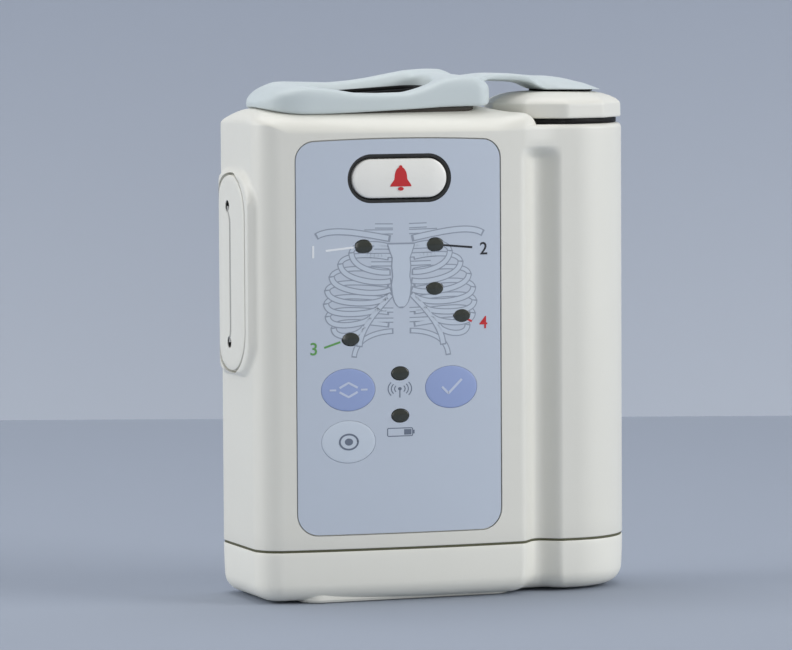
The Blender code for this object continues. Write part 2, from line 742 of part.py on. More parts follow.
def front_holes():
    """Holes through the front wall for the bezel, keys and windows."""
    deep = BOARD_FRONT_Y
    bezel = pill(OVERLAY_X, BUTTON_Z, *bezel_size(GAP))
    made = [prism("bezel_hole", bezel, FRONT - OVERRUN, deep, "Y")]
    for name, shares in KEY_PLACE_SHARES.items():
        outline = ellipse(*overlay_place(*shares), KEY_WIDTH + 2 * GAP, KEY_HEIGHT + 2 * GAP)
        made.append(prism(f"{name}_hole", outline, FRONT - OVERRUN, deep, "Y"))
    for i, shares in enumerate(WINDOW_PLACE_SHARES, 1):
        outline = ellipse(*overlay_place(*shares), WINDOW_WIDTH + 2 * GAP, WINDOW_HEIGHT + 2 * GAP, SMALL_SIDES)
        made.append(prism(f"window_hole_{i}", outline, FRONT - OVERRUN, deep, "Y"))
    return made


def bezel_size(grow=0.0):
    """The bezel's outer width and height."""
    rim = BEZEL_VISIBLE_RIM + BEZEL_HIDDEN_RIM + grow
    return BUTTON_WIDTH + 2 * rim, BUTTON_HEIGHT + 2 * rim


def socket_hole():
    """The slot in the top wall for the lead socket."""
    return [
        prism(
            "socket_hole",
            rounded_rectangle(SOCKET_X, 0, SOCKET_LENGTH + 2 * GAP, SOCKET_WIDTH + 2 * GAP, SOCKET_MOUTH_WALL),
            BODY_TOP - WALL - OVERRUN,
            BODY_TOP + OVERRUN,
        )
    ]


def cover_outline(grow=0.0):
    """The side cover's oblong outline."""
    return rounded_rectangle(
        COVER_CENTRE_Y, COVER_CENTRE_Z, COVER_WIDTH + 2 * grow, COVER_HEIGHT + 2 * grow, COVER_END_RADIUS + grow
    )


def cover_screw_heights():
    """The heights of the side cover's two screws."""
    return [COVER_CENTRE_Z + sign * COVER_SCREW_SPACING / 2 for sign in (-1, 1)]


def side_cover_recess():
    """The side cover's recess, the connector's window and the two screw holes in the left wall."""
    floor = COVER_FACE + COVER_THICKNESS + GAP
    recess = prism("cover_recess", cover_outline(GAP), COVER_FACE - OVERRUN, floor, "X")
    window = box(
        "connector_window",
        (floor - GAP, COVER_CENTRE_Y - CONNECTOR_WIDTH / 2 - GAP, COVER_CENTRE_Z - CONNECTOR_HEIGHT / 2 - GAP),
        (LEFT + CORNER_RADIUS, COVER_CENTRE_Y + CONNECTOR_WIDTH / 2 + GAP, COVER_CENTRE_Z + CONNECTOR_HEIGHT / 2 + GAP),
    )
    made = [recess, window]
    for i, z in enumerate(cover_screw_heights(), 1):
        hole = COVER_SCREW_RADIUS + GAP
        made.append(rod(f"cover_pilot_{i}", (COVER_SCREW_Y, z), hole, floor - GAP, LEFT + CORNER_RADIUS, "X", SMALL_SIDES))
    return made


def strap_screw_places():
    """The two screws that hold the strap's pad, side by side across the case."""
    x = STRAP_LEFT + STRAP_SCREW_FROM_LEFT
    return [(x, sign * STRAP_SCREW_SPACING / 2) for sign in (-1, 1)]


def strap_screw_holes():
    """Holes through the top wall for the strap's screws."""
    radius = SCREW_SHANK_RADIUS + SCREW_CLEARANCE
    return [
        rod(f"strap_hole_{i}", place, radius, BODY_TOP - WALL - OVERRUN, BODY_TOP + OVERRUN, sides=SMALL_SIDES)
        for i, place in enumerate(strap_screw_places(), 1)
    ]


def make_bottom_cover(plastic, shared):
    """The bottom cover: a shallow cup with the foot pad and the four screw wells."""
    cover = prism("bottom_cover", main_outline(0), BODY_BOTTOM, SEAM_LOW, "Z", PARTS, plastic)
    round_rim(cover, BODY_BOTTOM, BOTTOM_ROUND, 4)
    tube = prism("cover_tube", tube_outline(0), TUBE_BOTTOM, SEAM_LOW)
    round_rim(tube, TUBE_BOTTOM, BOTTOM_ROUND, 4)
    foot_x = LEFT + FOOT_LEFT_INSET + FOOT_WIDTH / 2
    foot = prism(
        "foot_pad",
        rounded_rectangle(foot_x, 0, FOOT_WIDTH, FOOT_DEPTH, FOOT_CORNER),
        0,
        BODY_BOTTOM + WALL / 2,
    )
    round_rim(foot, 0, FOOT_CHAMFER, 1)
    join(cover, tube, foot)
    cut(cover, *groove_cutters("cover_groove", 0, -OVERRUN, GROOVE_TOP))

    floor = TUBE_BOTTOM + WALL
    core, tube_core = case_block("cover_core", WALL, floor, SEAM_HIGH + OVERRUN, SEAM_HIGH + OVERRUN)
    round_rim(core, floor, INNER_ROUND, 2)
    round_rim(tube_core, floor, INNER_ROUND, 2)
    join(core, tube_core)
    cut(core, *groove_cutters("cover_core_wall", GROOVE_WALL, -OVERRUN, GROOVE_TOP))
    cut(core, *screw_blocks("cover_block", -OVERRUN, SEAM_HIGH + 2 * OVERRUN))
    cut(cover, core)
    cut(cover, shared["rebate"], *shared["screw_holes"], *shared["screw_wells"])
    smooth(cover)
    return cover


def make_seam_gasket(rubber):
    """The thin gasket ring that fills the rebate of the seam."""
    low, high = SEAM_HEIGHT - GASKET_HEIGHT / 2, SEAM_HEIGHT + GASKET_HEIGHT / 2
    ring, tube = case_block("seam_gasket", GASKET_INSET, low, high, high, PARTS, rubber)
    join(ring, tube)
    cut(ring, *groove_cutters("gasket_groove", GASKET_INSET, low - OVERRUN, high + OVERRUN))
    inside = GASKET_INSET + GASKET_WIDTH
    core, tube_core = case_block("gasket_core", inside, low - OVERRUN, high + OVERRUN, high + OVERRUN)
    join(core, tube_core)
    cut(core, *groove_cutters("gasket_core_wall", inside, low - 2 * OVERRUN, high + 2 * OVERRUN))
    cut(ring, core)
    return ring


def shared_cutters():
    """Cutters that shape more than one piece."""
    head_top = BODY_BOTTOM + SCREW_RECESS_SHARE * (SEAM_LOW - BODY_BOTTOM)
    hole = SCREW_SHANK_RADIUS + SCREW_CLEARANCE
    holes, wells = [], []
    for i, (x, y, _) in enumerate(screw_places(), 1):
        top = SEAM_HIGH + SCREW_BLOCK_HEIGHT - SCREW_CLEARANCE - GAP
        holes.append(rod(f"screw_hole_{i}", (x, y), hole, -OVERRUN, top, sides=SMALL_SIDES))
        wells.append(
            rod(f"screw_well_{i}", (x, y), SCREW_HEAD_RADIUS + SCREW_CLEARANCE, -OVERRUN, head_top, sides=ROUND_SIDES)
        )
    peg_holes = []
    for i, (x, z) in enumerate(standoff_places()[1::2], 1):
        peg_holes.append(rod(f"peg_hole_{i}", (x, z), hole, crown_y(x) + WALL, BOARD_FRONT_Y + OVERRUN, "Y", SMALL_SIDES))
    return {"rebate": rebate("rebate"), "screw_holes": holes, "screw_wells": wells, "peg_holes": peg_holes}


def make_case_screws(steel):
    """Four screws from below, each with a slotted head sunk in its well."""
    head_top = BODY_BOTTOM + SCREW_RECESS_SHARE * (SEAM_LOW - BODY_BOTTOM) - GAP
    tip = SEAM_HIGH + SCREW_PULL_UP
    for i, (x, y, _) in enumerate(screw_places(), 1):
        profile = [
            (0, tip),
            (SCREW_SHANK_RADIUS, tip - SCREW_SHANK_RADIUS),
            (SCREW_SHANK_RADIUS, head_top),
            (SCREW_HEAD_RADIUS, head_top),
            (SCREW_HEAD_RADIUS, head_top - SCREW_HEAD_HEIGHT),
            (0, head_top - SCREW_HEAD_HEIGHT),
        ]
        screw = turned(f"case_screw_{i}", profile, (x, y, 0), steel, SMALL_SIDES)
        low = head_top - SCREW_HEAD_HEIGHT
        slot = box(
            f"case_screw_slot_{i}",
            (x - SCREW_HEAD_RADIUS - OVERRUN, y - DRIVE_SLOT_WIDTH / 2, low - OVERRUN),
            (x + SCREW_HEAD_RADIUS + OVERRUN, y + DRIVE_SLOT_WIDTH / 2, low + DRIVE_SLOT_DEPTH),
        )
        cut(screw, slot)


# The front: overlay, windows, keys and call button

def make_overlay(film):
    """The printed overlay, with holes for the windows, keys and the call button."""
    overlay = prism("overlay", overlay_outline(), FRONT - OVERRUN, BOARD_FRONT_Y, "Y", PARTS, film)
    keep_inside(overlay, crown_band("overlay_band", OVERLAY_SUNK, far=OVERLAY_SUNK + OVERLAY_THICKNESS))
    ring = pill(
        OVERLAY_X, BUTTON_Z, BUTTON_WIDTH + 2 * BEZEL_VISIBLE_RIM, BUTTON_HEIGHT + 2 * BEZEL_VISIBLE_RIM
    )
    holes = [prism("overlay_ring_hole", ring, FRONT - OVERRUN, BOARD_FRONT_Y + OVERRUN, "Y")]
    for name, shares in KEY_PLACE_SHARES.items():
        outline = ellipse(*overlay_place(*shares), KEY_WIDTH + 2 * GAP, KEY_HEIGHT + 2 * GAP)
        holes.append(prism(f"overlay_{name}_hole", outline, FRONT - OVERRUN, BOARD_FRONT_Y + OVERRUN, "Y"))
    for i, shares in enumerate(WINDOW_PLACE_SHARES, 1):
        outline = ellipse(*overlay_place(*shares), WINDOW_WIDTH + 2 * GAP, WINDOW_HEIGHT + 2 * GAP, SMALL_SIDES)
        holes.append(prism(f"overlay_window_hole_{i}", outline, FRONT - OVERRUN, BOARD_FRONT_Y + OVERRUN, "Y"))
    cut(overlay, *holes)
    return overlay


def make_windows(smoked):
    """Seven light pipes, each with its dark window flush with the overlay."""
    band = crown_band("window_band", OVERLAY_SUNK, back=BOARD_FRONT_Y - LAMP_HEIGHT - GAP)
    for i, shares in enumerate(WINDOW_PLACE_SHARES, 1):
        outline = ellipse(*overlay_place(*shares), WINDOW_WIDTH, WINDOW_HEIGHT, SMALL_SIDES)
        window = prism(f"lead_lamp_window_{i}", outline, FRONT - OVERRUN, BOARD_FRONT_Y, "Y", PARTS, smoked)
        keep_inside(window, band)


def make_keys(films):
    """Three oval keys, each with a nub that reaches its dome on the board."""
    band = crown_band("key_band", OVERLAY_SUNK, far=OVERLAY_SUNK + KEY_THICKNESS)
    nub_end = BOARD_FRONT_Y - GAP - DOME_THICKNESS - GAP - KEY_TRAVEL
    for name, shares in KEY_PLACE_SHARES.items():
        x, z = overlay_place(*shares)
        key = prism(name, ellipse(x, z, KEY_WIDTH, KEY_HEIGHT), FRONT - OVERRUN, BOARD_FRONT_Y, "Y", PARTS, films[name])
        keep_inside(key, band)
        nub = rod(f"{name}_nub", (x, z), KEY_NUB_RADIUS, crown_y(x) + KEY_THICKNESS / 2, nub_end, "Y", SMALL_SIDES)
        move = (x, crown_y(x), z)
        at_axis(key, move)
        join(key, nub)


def make_call_button(white, black):
    """The oblong call button and the dark bezel it slides in."""
    far = BUTTON_FLANGE_FACE + BUTTON_FLANGE_THICKNESS
    button = prism(
        "call_button",
        pill(OVERLAY_X, BUTTON_Z, BUTTON_WIDTH, BUTTON_HEIGHT),
        FRONT - OVERRUN,
        BOARD_FRONT_Y,
        "Y",
        PARTS,
        white,
    )
    keep_inside(button, crown_band("button_band", -BUTTON_PROUD, far=far))
    flange = prism(
        "button_flange",
        pill(OVERLAY_X, BUTTON_Z, BUTTON_WIDTH + 2 * BUTTON_FLANGE_RIM, BUTTON_HEIGHT + 2 * BUTTON_FLANGE_RIM),
        FRONT - OVERRUN,
        BOARD_FRONT_Y,
        "Y",
    )
    keep_inside(flange, crown_band("flange_band", BUTTON_FLANGE_FACE, far=far))
    at_axis(button, (OVERLAY_X, crown_y(OVERLAY_X), BUTTON_Z))
    join(button, flange)

    bezel = prism(
        "call_button_bezel",
        pill(OVERLAY_X, BUTTON_Z, *bezel_size()),
        FRONT - OVERRUN,
        BOARD_FRONT_Y,
        "Y",
        PARTS,
        black,
    )
    keep_inside(bezel, crown_band("bezel_band", BEZEL_FACE, far=BEZEL_FACE + BEZEL_THICKNESS))
    inner = pill(OVERLAY_X, BUTTON_Z, BUTTON_WIDTH + 2 * GAP, BUTTON_HEIGHT + 2 * GAP)
    cut(bezel, prism("bezel_inner", inner, FRONT - 2 * OVERRUN, BOARD_FRONT_Y + OVERRUN, "Y"))


# Boards and what is on them

def make_boards(green, steel, black, gold):
    """The main board with its lamps, the shield can, beeper, antenna, switch and key domes."""
    half = BOARD_WIDTH / 2
    board = box(
        "main_board",
        (BOARD_X - half, BOARD_FRONT_Y, BOARD_LOW),
        (BOARD_X + half, BOARD_BACK_Y, BOARD_HIGH),
        PARTS,
        green,
    )
    for i, shares in enumerate(WINDOW_PLACE_SHARES, 1):
        x, z = overlay_place(*shares)
        lamp = box(
            f"lamp_{i}",
            (x - LAMP_SIZE / 2, BOARD_FRONT_Y - LAMP_HEIGHT, z - LAMP_SIZE / 2),
            (x + LAMP_SIZE / 2, BOARD_FRONT_Y + BOARD_THICKNESS / 2, z + LAMP_SIZE / 2),
        )
        join(board, lamp)
    hole = SCREW_SHANK_RADIUS + SCREW_CLEARANCE
    for i, (x, z) in enumerate(standoff_places()[1::2], 1):
        cut(board, rod(f"board_hole_{i}", (x, z), hole, BOARD_FRONT_Y - OVERRUN, BOARD_BACK_Y + OVERRUN, "Y", SMALL_SIDES))
        face = BOARD_BACK_Y + GAP
        profile = [
            (0, face + SCREW_HEAD_HEIGHT),
            (SCREW_HEAD_RADIUS, face + SCREW_HEAD_HEIGHT),
            (SCREW_HEAD_RADIUS, face),
            (SCREW_SHANK_RADIUS, face),
            (SCREW_SHANK_RADIUS, BOARD_FRONT_Y - WALL),
            (0, BOARD_FRONT_Y - WALL - SCREW_SHANK_RADIUS),
        ]
        screw = turned(f"board_screw_{i}", profile, (x, 0, z), steel, SMALL_SIDES)
        screw.rotation_euler = (-math.pi / 2, 0, 0)

    rear = BOARD_BACK_Y + GAP
    shield_z = (BOARD_LOW + BOARD_HIGH) / 2
    box(
        "radio_shield",
        (BOARD_X - SHIELD_WIDTH / 2, rear, shield_z - SHIELD_HEIGHT / 2),
        (BOARD_X + SHIELD_WIDTH / 2, rear + SHIELD_DEPTH, shield_z + SHIELD_HEIGHT / 2),
        PARTS,
        steel,
    )
    beeper_z = shield_z - SHIELD_HEIGHT / 2 - BEEPER_RADIUS - WALL
    smooth(rod("beeper", (BOARD_X, beeper_z), BEEPER_RADIUS, rear, rear + BEEPER_DEPTH, "Y", ROUND_SIDES, PARTS, black))
    antenna_z = shield_z + SHIELD_HEIGHT / 2 + WALL
    box(
        "antenna_plate",
        (BOARD_X - ANTENNA_HEIGHT / 2, rear, antenna_z),
        (BOARD_X + ANTENNA_HEIGHT / 2, rear + ANTENNA_THICKNESS, antenna_z + ANTENNA_WIDTH),
        PARTS,
        gold,
    )
    front = BOARD_FRONT_Y - GAP
    switch_face = crown_y(OVERLAY_X - SWITCH_WIDTH / 2) + BUTTON_FLANGE_FACE + BUTTON_FLANGE_THICKNESS + BUTTON_TRAVEL + GAP
    box(
        "call_switch",
        (OVERLAY_X - SWITCH_WIDTH / 2, switch_face, BOARD_HIGH - SWITCH_HEIGHT),
        (OVERLAY_X + SWITCH_WIDTH / 2, front, BOARD_HIGH),
        PARTS,
        black,
    )
    for name, shares in KEY_PLACE_SHARES.items():
        place = overlay_place(*shares)
        rod(f"{name}_dome", place, DOME_RADIUS, front - DOME_THICKNESS, front, "Y", SMALL_SIDES, PARTS, steel)


def make_lead_socket(black, gold):
    """The dark socket block under the strap's opening, with its row of contact pins."""
    block = prism(
        "lead_socket",
        rounded_rectangle(SOCKET_X, 0, SOCKET_LENGTH, SOCKET_WIDTH, SOCKET_MOUTH_WALL - GAP),
        SOCKET_TOP - SOCKET_HEIGHT,
        SOCKET_TOP,
        "Z",
        PARTS,
        black,
    )
    under = BODY_TOP - WALL - GAP
    flange = prism(
        "socket_flange",
        rounded_rectangle(SOCKET_X, 0, SOCKET_LENGTH + 2 * SOCKET_FLANGE, SOCKET_WIDTH + 2 * SOCKET_FLANGE, SOCKET_FLANGE),
        under - SOCKET_FLANGE_THICKNESS,
        under,
    )
    join(block, flange)
    mouth = prism(
        "socket_mouth",
        rounded_rectangle(
            SOCKET_X,
            0,
            SOCKET_LENGTH - 2 * SOCKET_MOUTH_WALL,
            SOCKET_WIDTH - 2 * SOCKET_MOUTH_WALL,
            SOCKET_MOUTH_WALL / 2,
        ),
        SOCKET_TOP - SOCKET_MOUTH_DEPTH,
        SOCKET_TOP + OVERRUN,
    )
    cut(block, mouth)
    low = SOCKET_TOP - SOCKET_MOUTH_DEPTH + GAP
    for i in range(PIN_COUNT):
        x = SOCKET_X + (i - (PIN_COUNT - 1) / 2) * PIN_SPACING
        profile = [(0, low + PIN_HEIGHT), (PIN_RADIUS, low + PIN_HEIGHT - PIN_RADIUS), (PIN_RADIUS, low), (0, low)]
        turned(f"lead_pin_{i + 1}", profile, (x, 0, 0), gold, SMALL_SIDES)
    return block


def make_side_cover(plastic, steel, black):
    """The oblong side cover with its scored line, two sunk screws and the connector behind it."""
    cover = prism("side_cover", cover_outline(), COVER_FACE, COVER_FACE + COVER_THICKNESS, "X", PARTS, plastic)
    score = box(
        "cover_score",
        (COVER_FACE - OVERRUN, COVER_SCREW_Y - SCORE_WIDTH / 2, cover_screw_heights()[0]),
        (COVER_FACE + SCORE_DEPTH, COVER_SCREW_Y + SCORE_WIDTH / 2, cover_screw_heights()[1]),
    )
    cut(cover, score)
    face = COVER_FACE + COVER_SCREW_SUNK
    for i, z in enumerate(cover_screw_heights(), 1):
        hole = COVER_SCREW_RADIUS + GAP
        cut(cover, rod(f"cover_hole_{i}", (COVER_SCREW_Y, z), hole, COVER_FACE - OVERRUN, LEFT + OVERRUN, "X", SMALL_SIDES))
        rod(
            f"cover_screw_{i}",
            (COVER_SCREW_Y, z),
            COVER_SCREW_RADIUS,
            face,
            face + COVER_SCREW_LENGTH,
            "X",
            SMALL_SIDES,
            PARTS,
            steel,
        )
    near = COVER_FACE + COVER_THICKNESS + GAP
    half_y, half_z = CONNECTOR_WIDTH / 2, CONNECTOR_HEIGHT / 2
    connector = box(
        "service_connector",
        (near, COVER_CENTRE_Y - half_y, COVER_CENTRE_Z - half_z),
        (near + CONNECTOR_DEPTH, COVER_CENTRE_Y + half_y, COVER_CENTRE_Z + half_z),
        PARTS,
        black,
    )
    rim = CONNECTOR_MOUTH_WALL
    mouth = box(
        "connector_mouth",
        (near - OVERRUN, COVER_CENTRE_Y - half_y + rim, COVER_CENTRE_Z - half_z + rim),
        (near + CONNECTOR_MOUTH_DEPTH, COVER_CENTRE_Y + half_y - rim, COVER_CENTRE_Z + half_z - rim),
    )
    cut(connector, mouth)


# Power: sleeve, cells, contacts and the cap

def make_battery_sleeve(black):
    """The sleeve that holds the two cells side by side, open at its top."""
    top = NECK_LOW - GAP
    sleeve = prism("battery_sleeve", upright_pill(TUBE_X, 0, SLEEVE_RADIUS, CELL_Y), SLEEVE_LOW, top, "Z", PARTS, black)
    hollow = prism(
        "sleeve_hollow",
        upright_pill(TUBE_X, 0, SLEEVE_RADIUS - SLEEVE_WALL, CELL_Y),
        SLEEVE_LOW + SLEEVE_FLOOR,
        top + OVERRUN,
    )
    cut(sleeve, hollow)
    smooth(sleeve)


def make_cells(wrap, steel):
    """Two cells side by side, one up and one down, on their contacts."""
    contact_low = SLEEVE_LOW + SLEEVE_FLOOR + GAP
    shoulder = CELL_RADIUS * CELL_SHOULDER_SHARE
    body_high = CELL_TOP - CELL_NUB_HEIGHT
    up = [
        (0, CELL_TOP),
        (CELL_NUB_RADIUS, CELL_TOP),
        (CELL_NUB_RADIUS, body_high),
        (shoulder, body_high),
        (CELL_RADIUS, body_high - (CELL_RADIUS - shoulder)),
        (CELL_RADIUS, CELL_LOW),
        (0, CELL_LOW),
    ]
    turned("battery_cell_front", up, (TUBE_X, -CELL_Y, 0), wrap)
    down = [(radius, CELL_TOP + CELL_LOW - height) for radius, height in reversed(up)]
    turned("battery_cell_back", down, (TUBE_X, CELL_Y, 0), wrap)
    rod(
        "cell_contact_spring",
        (TUBE_X, -CELL_Y),
        SPRING_RADIUS,
        contact_low,
        contact_low + CONTACT_THICKNESS,
        "Z",
        SMALL_SIDES,
        PARTS,
        steel,
    )
    box(
        "cell_contact_plate",
        (TUBE_X - SPRING_RADIUS, CELL_Y - SPRING_RADIUS, contact_low),
        (TUBE_X + SPRING_RADIUS, CELL_Y + SPRING_RADIUS, contact_low + CONTACT_THICKNESS),
        PARTS,
        steel,
    )


def make_cap(white, rubber, steel):
    """The ten-sided battery cap with its plug and two lugs, its gasket and its contact disc."""
    step = 360 / CAP_SIDES
    outline = arc(0, 0, CAP_RADIUS, CAP_FACETS_TURNED_DEG, CAP_FACETS_TURNED_DEG + 360 - step, CAP_SIDES - 1)
    cap = prism("battery_cap", outline, CAP_LOW, CAP_TOP, "Z", PARTS, white)
    round_rim(cap, CAP_TOP, CAP_CROWN_HEIGHT, 3)
    plug = rod("cap_plug", (0, 0), PLUG_RADIUS, PLUG_LOW, CAP_LOW + CAP_EDGE_HEIGHT / 2, sides=TUBE_SIDES)
    lugs = []
    for i, turned_by in enumerate((0, 180), 1):
        rim = arc(0, 0, PLUG_RADIUS + LUG_REACH, turned_by - LUG_SPAN_DEG / 2, turned_by + LUG_SPAN_DEG / 2)
        lugs.append(prism(f"cap_lug_{i}", [(0, 0)] + rim, PLUG_LOW, PLUG_LOW + LUG_HEIGHT))
    hollow = rod("cap_hollow", (0, 0), CAP_HOLLOW_RADIUS, PLUG_LOW - OVERRUN, CAP_TOP - CAP_ROOF)
    bore = rod("cap_bore", (0, 0), CAP_BORE_RADIUS, PLUG_LOW - OVERRUN, CAP_TOP + OVERRUN)
    for helper in (plug, *lugs, hollow, bore):
        helper.location.x = CAP_X
    cap.location.x = CAP_X
    join(cap, plug, *lugs)
    cut(cap, hollow, bore)
    smooth(cap, 20)

    seat = TUBE_TOP + GAP
    ring = rod("cap_gasket", (0, 0), CAP_GASKET_RADIUS, seat, CAP_LOW - GAP, "Z", TUBE_SIDES, PARTS, rubber)
    ring.location.x = CAP_X
    inner = rod("cap_gasket_inner", (0, 0), PLUG_RADIUS + GAP, seat - OVERRUN, CAP_LOW + OVERRUN, sides=TUBE_SIDES)
    inner.location.x = CAP_X
    cut(ring, inner)
    smooth(ring)

    low = CELL_TOP + GAP
    disc = rod("cap_contact", (0, 0), CAP_CONTACT_RADIUS, low, low + CAP_CONTACT_THICKNESS, "Z", ROUND_SIDES, PARTS, steel)
    disc.location.x = CAP_X


# The rubber strap

def strap_plan(grow=0.0):
    """The strap's loop from above: a round pad end on the left and a squarer post on the right."""
    half = STRAP_WIDTH / 2 + grow
    left = STRAP_LEFT + STRAP_END_RADIUS
    right = STRAP_RIGHT - STRAP_POST_RADIUS
    points = arc(right, -half + STRAP_POST_RADIUS, STRAP_POST_RADIUS, -90, 0, 3)
    points += arc(right, half - STRAP_POST_RADIUS, STRAP_POST_RADIUS, 0, 90, 3)
    points += arc(left, 0, half, 90, 270, 2 * ARC_SEGMENTS)
    return points


STRAP_BACK_PROFILE_SHARES = (
    (0.00, 0.30),
    (0.02, 0.42),
    (0.05, 0.52),
    (0.11, 0.63),
    (0.16, 0.72),
    (0.25, 0.72),
    (0.40, 0.68),
    (0.50, 0.73),
    (0.66, 0.88),
    (0.75, 0.98),
    (0.83, 1.00),
    (0.90, 0.98),
    (0.95, 0.88),
    (1.00, 0.87),
)
STRAP_FRONT_PROFILE_SHARES = (
    (0.00, 0.30),
    (0.02, 0.42),
    (0.05, 0.51),
    (0.12, 0.59),
    (0.20, 0.61),
    (0.29, 0.57),
    (0.34, 0.52),
    (0.40, 0.45),
    (0.62, 0.44),
    (0.68, 0.51),
    (0.76, 0.70),
    (0.80, 0.79),
    (0.88, 0.85),
    (1.00, 0.87),
)


def strap_side(shares):
    """A rail of the strap from the front, its heights as shares of the peak's."""
    points = [
        (STRAP_LEFT + along * STRAP_LENGTH, STRAP_LOW + up * STRAP_PEAK_HEIGHT) for along, up in reversed(shares)
    ]
    points += [(STRAP_LEFT, STRAP_LOW), (STRAP_LEFT + STRAP_LENGTH / 2, STRAP_LOW)]
    points += [(STRAP_RIGHT, STRAP_LOW + STRAP_LIFT)]
    return points


def make_strap(rubber):
    """The strap: its loop on the case top, the tongue over the gap, and the disc on the cap."""
    half = STRAP_WIDTH / 2
    loop = prism("strap_loop", strap_plan(), STRAP_LOW - OVERRUN, STRAP_LOW + 2 * STRAP_PEAK_HEIGHT, "Z", PARTS, rubber)
    rails = prism("strap_front_rail", strap_side(STRAP_FRONT_PROFILE_SHARES), -half - OVERRUN, 0, "Y")
    join(rails, prism("strap_back_rail", strap_side(STRAP_BACK_PROFILE_SHARES), -WALL / 2, half + OVERRUN, "Y"))
    keep_inside(loop, rails)
    hole = pill(STRAP_HOLE_X, 0, STRAP_HOLE_LENGTH, STRAP_HOLE_WIDTH)
    screw_hole = SCREW_SHANK_RADIUS + SCREW_CLEARANCE
    deep = STRAP_LOW + STRAP_SCREW_DEPTH + GAP
    holes = [
        rod(f"strap_pilot_{i}", place, screw_hole, STRAP_LOW - OVERRUN, deep, sides=SMALL_SIDES)
        for i, place in enumerate(strap_screw_places(), 1)
    ]
    cut(loop, prism("strap_hole", hole, STRAP_LOW - 2 * OVERRUN, STRAP_LOW + 3 * STRAP_PEAK_HEIGHT), *holes)
    smooth(loop)

    make_tongue(rubber)
    make_strap_disc(rubber)


def make_tongue(rubber):
    """The tongue from the post to the disc, arched over the gap before the cap."""
    start = STRAP_RIGHT + GAP
    end = DISC_X - DISC_RADIUS - GAP
    run = end - start
    high = STRAP_LOW + STRAP_POST_HEIGHT
    under = high - TONGUE_THICKNESS
    outline = [(start + along * run, high - sag * TONGUE_SAG) for along, sag in TONGUE_TOP_SHARES]
    outline.append((end, CAP_TOP + CAP_RISE + GAP))
    outline += [(start + along * run, under - sag * TONGUE_SAG) for along, sag in TONGUE_UNDER_SHARES]
    smooth(prism("strap_tongue", outline, -TONGUE_WIDTH / 2, TONGUE_WIDTH / 2, "Y", PARTS, rubber), 60)


def make_strap_disc(rubber):
    """The sloping disc on the cap, with a snap stem through the cap's bore."""
    low = CAP_TOP + GAP
    left = DISC_X - DISC_RADIUS
    disc = rod(
        "strap_disc", (DISC_X, 0), DISC_RADIUS, low, low + DISC_HEIGHT + OVERRUN, "Z", 2 * ROUND_SIDES, PARTS, rubber
    )
    side = [
        (left + along * 2 * DISC_RADIUS, low + up * DISC_HEIGHT) for along, up in reversed(DISC_PROFILE_SHARES)
    ]
    side += [(left, low), (DISC_X + DISC_RADIUS, low)]
    keep_inside(disc, prism("disc_side", side, -DISC_RADIUS - OVERRUN, DISC_RADIUS + OVERRUN, "Y"))
    roof_under = CAP_TOP - CAP_ROOF - GAP
    profile = [
        (0, low + DISC_RIM),
        (STEM_RADIUS, low + DISC_RIM),
        (STEM_RADIUS, roof_under),
        (STEM_HEAD_RADIUS, roof_under),
        (STEM_HEAD_RADIUS, roof_under - STEM_HEAD_HEIGHT / 2),
        (STEM_RADIUS, roof_under - STEM_HEAD_HEIGHT),
        (0, roof_under - STEM_HEAD_HEIGHT),
    ]
    join(disc, turned("disc_stem", profile, (CAP_X, 0, 0), None, ROUND_SIDES, CUTTERS))
    smooth(disc)


def make_strap_screws(steel):
    """Two screws from inside the case up into the strap's pad."""
    under = BODY_TOP - WALL - GAP
    tip = STRAP_LOW + STRAP_SCREW_DEPTH
    profile = [
        (0, tip),
        (SCREW_SHANK_RADIUS, tip - SCREW_SHANK_RADIUS),
        (SCREW_SHANK_RADIUS, under),
        (SCREW_HEAD_RADIUS, under),
        (SCREW_HEAD_RADIUS, under - SCREW_HEAD_HEIGHT),
        (0, under - SCREW_HEAD_HEIGHT),
    ]
    for i, (x, y) in enumerate(strap_screw_places(), 1):
        turned(f"strap_screw_{i}", profile, (x, y, 0), steel, SMALL_SIDES)


def main():
    clear_scene()
    white = material("case_plastic", (0.76, 0.76, 0.73), 0.42)
    button_white = material("button_plastic", (0.85, 0.85, 0.84), 0.35)
    film = material("overlay_film", (0.36, 0.42, 0.54), 0.38)
    blue = material("key_blue", (0.22, 0.29, 0.53), 0.38)
    pale = material("key_pale", (0.46, 0.51, 0.60), 0.38)
    smoked = material("window_smoked", (0.03, 0.035, 0.03), 0.25)
    black = material("moulded_black", (0.02, 0.02, 0.02), 0.5)
    seal = material("seal_rubber", (0.09, 0.10, 0.06), 0.7)
    gasket_black = material("seal_black", (0.02, 0.02, 0.02), 0.75)
    strap = material("strap_rubber", (0.48, 0.56, 0.61), 0.55)
    green = material("board_green", (0.03, 0.18, 0.08), 0.5)
    steel = material("plated_steel", (0.62, 0.62, 0.60), 0.3, 1.0)
    gold = material("contact_gold", (0.80, 0.60, 0.25), 0.3, 1.0)
    wrap = material("cell_wrap", (0.12, 0.13, 0.15), 0.35)

    shared = shared_cutters()
    make_main_shell(white, shared)
    make_bottom_cover(white, shared)
    make_seam_gasket(seal)
    make_case_screws(steel)
    make_overlay(film)
    make_windows(smoked)
    make_keys({"select_key": blue, "check_key": blue, "record_key": pale})
    make_call_button(button_white, black)
    make_boards(green, steel, black, gold)
    make_lead_socket(black, gold)
    make_side_cover(white, black, black)
    make_battery_sleeve(black)
    make_cells(wrap, steel)
    make_cap(white, gasket_black, steel)
    make_strap(strap)
    make_strap_screws(steel)


main()
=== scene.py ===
"""The looks of a patient-worn heart-signal transmitter.

Each class below makes one sub-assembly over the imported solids: the case, the front panel with its
keys and prints, the battery cap and the rubber strap. Lengths are in metres, +Z is up, the front
faces -Y and the battery tube is at +X.
"""

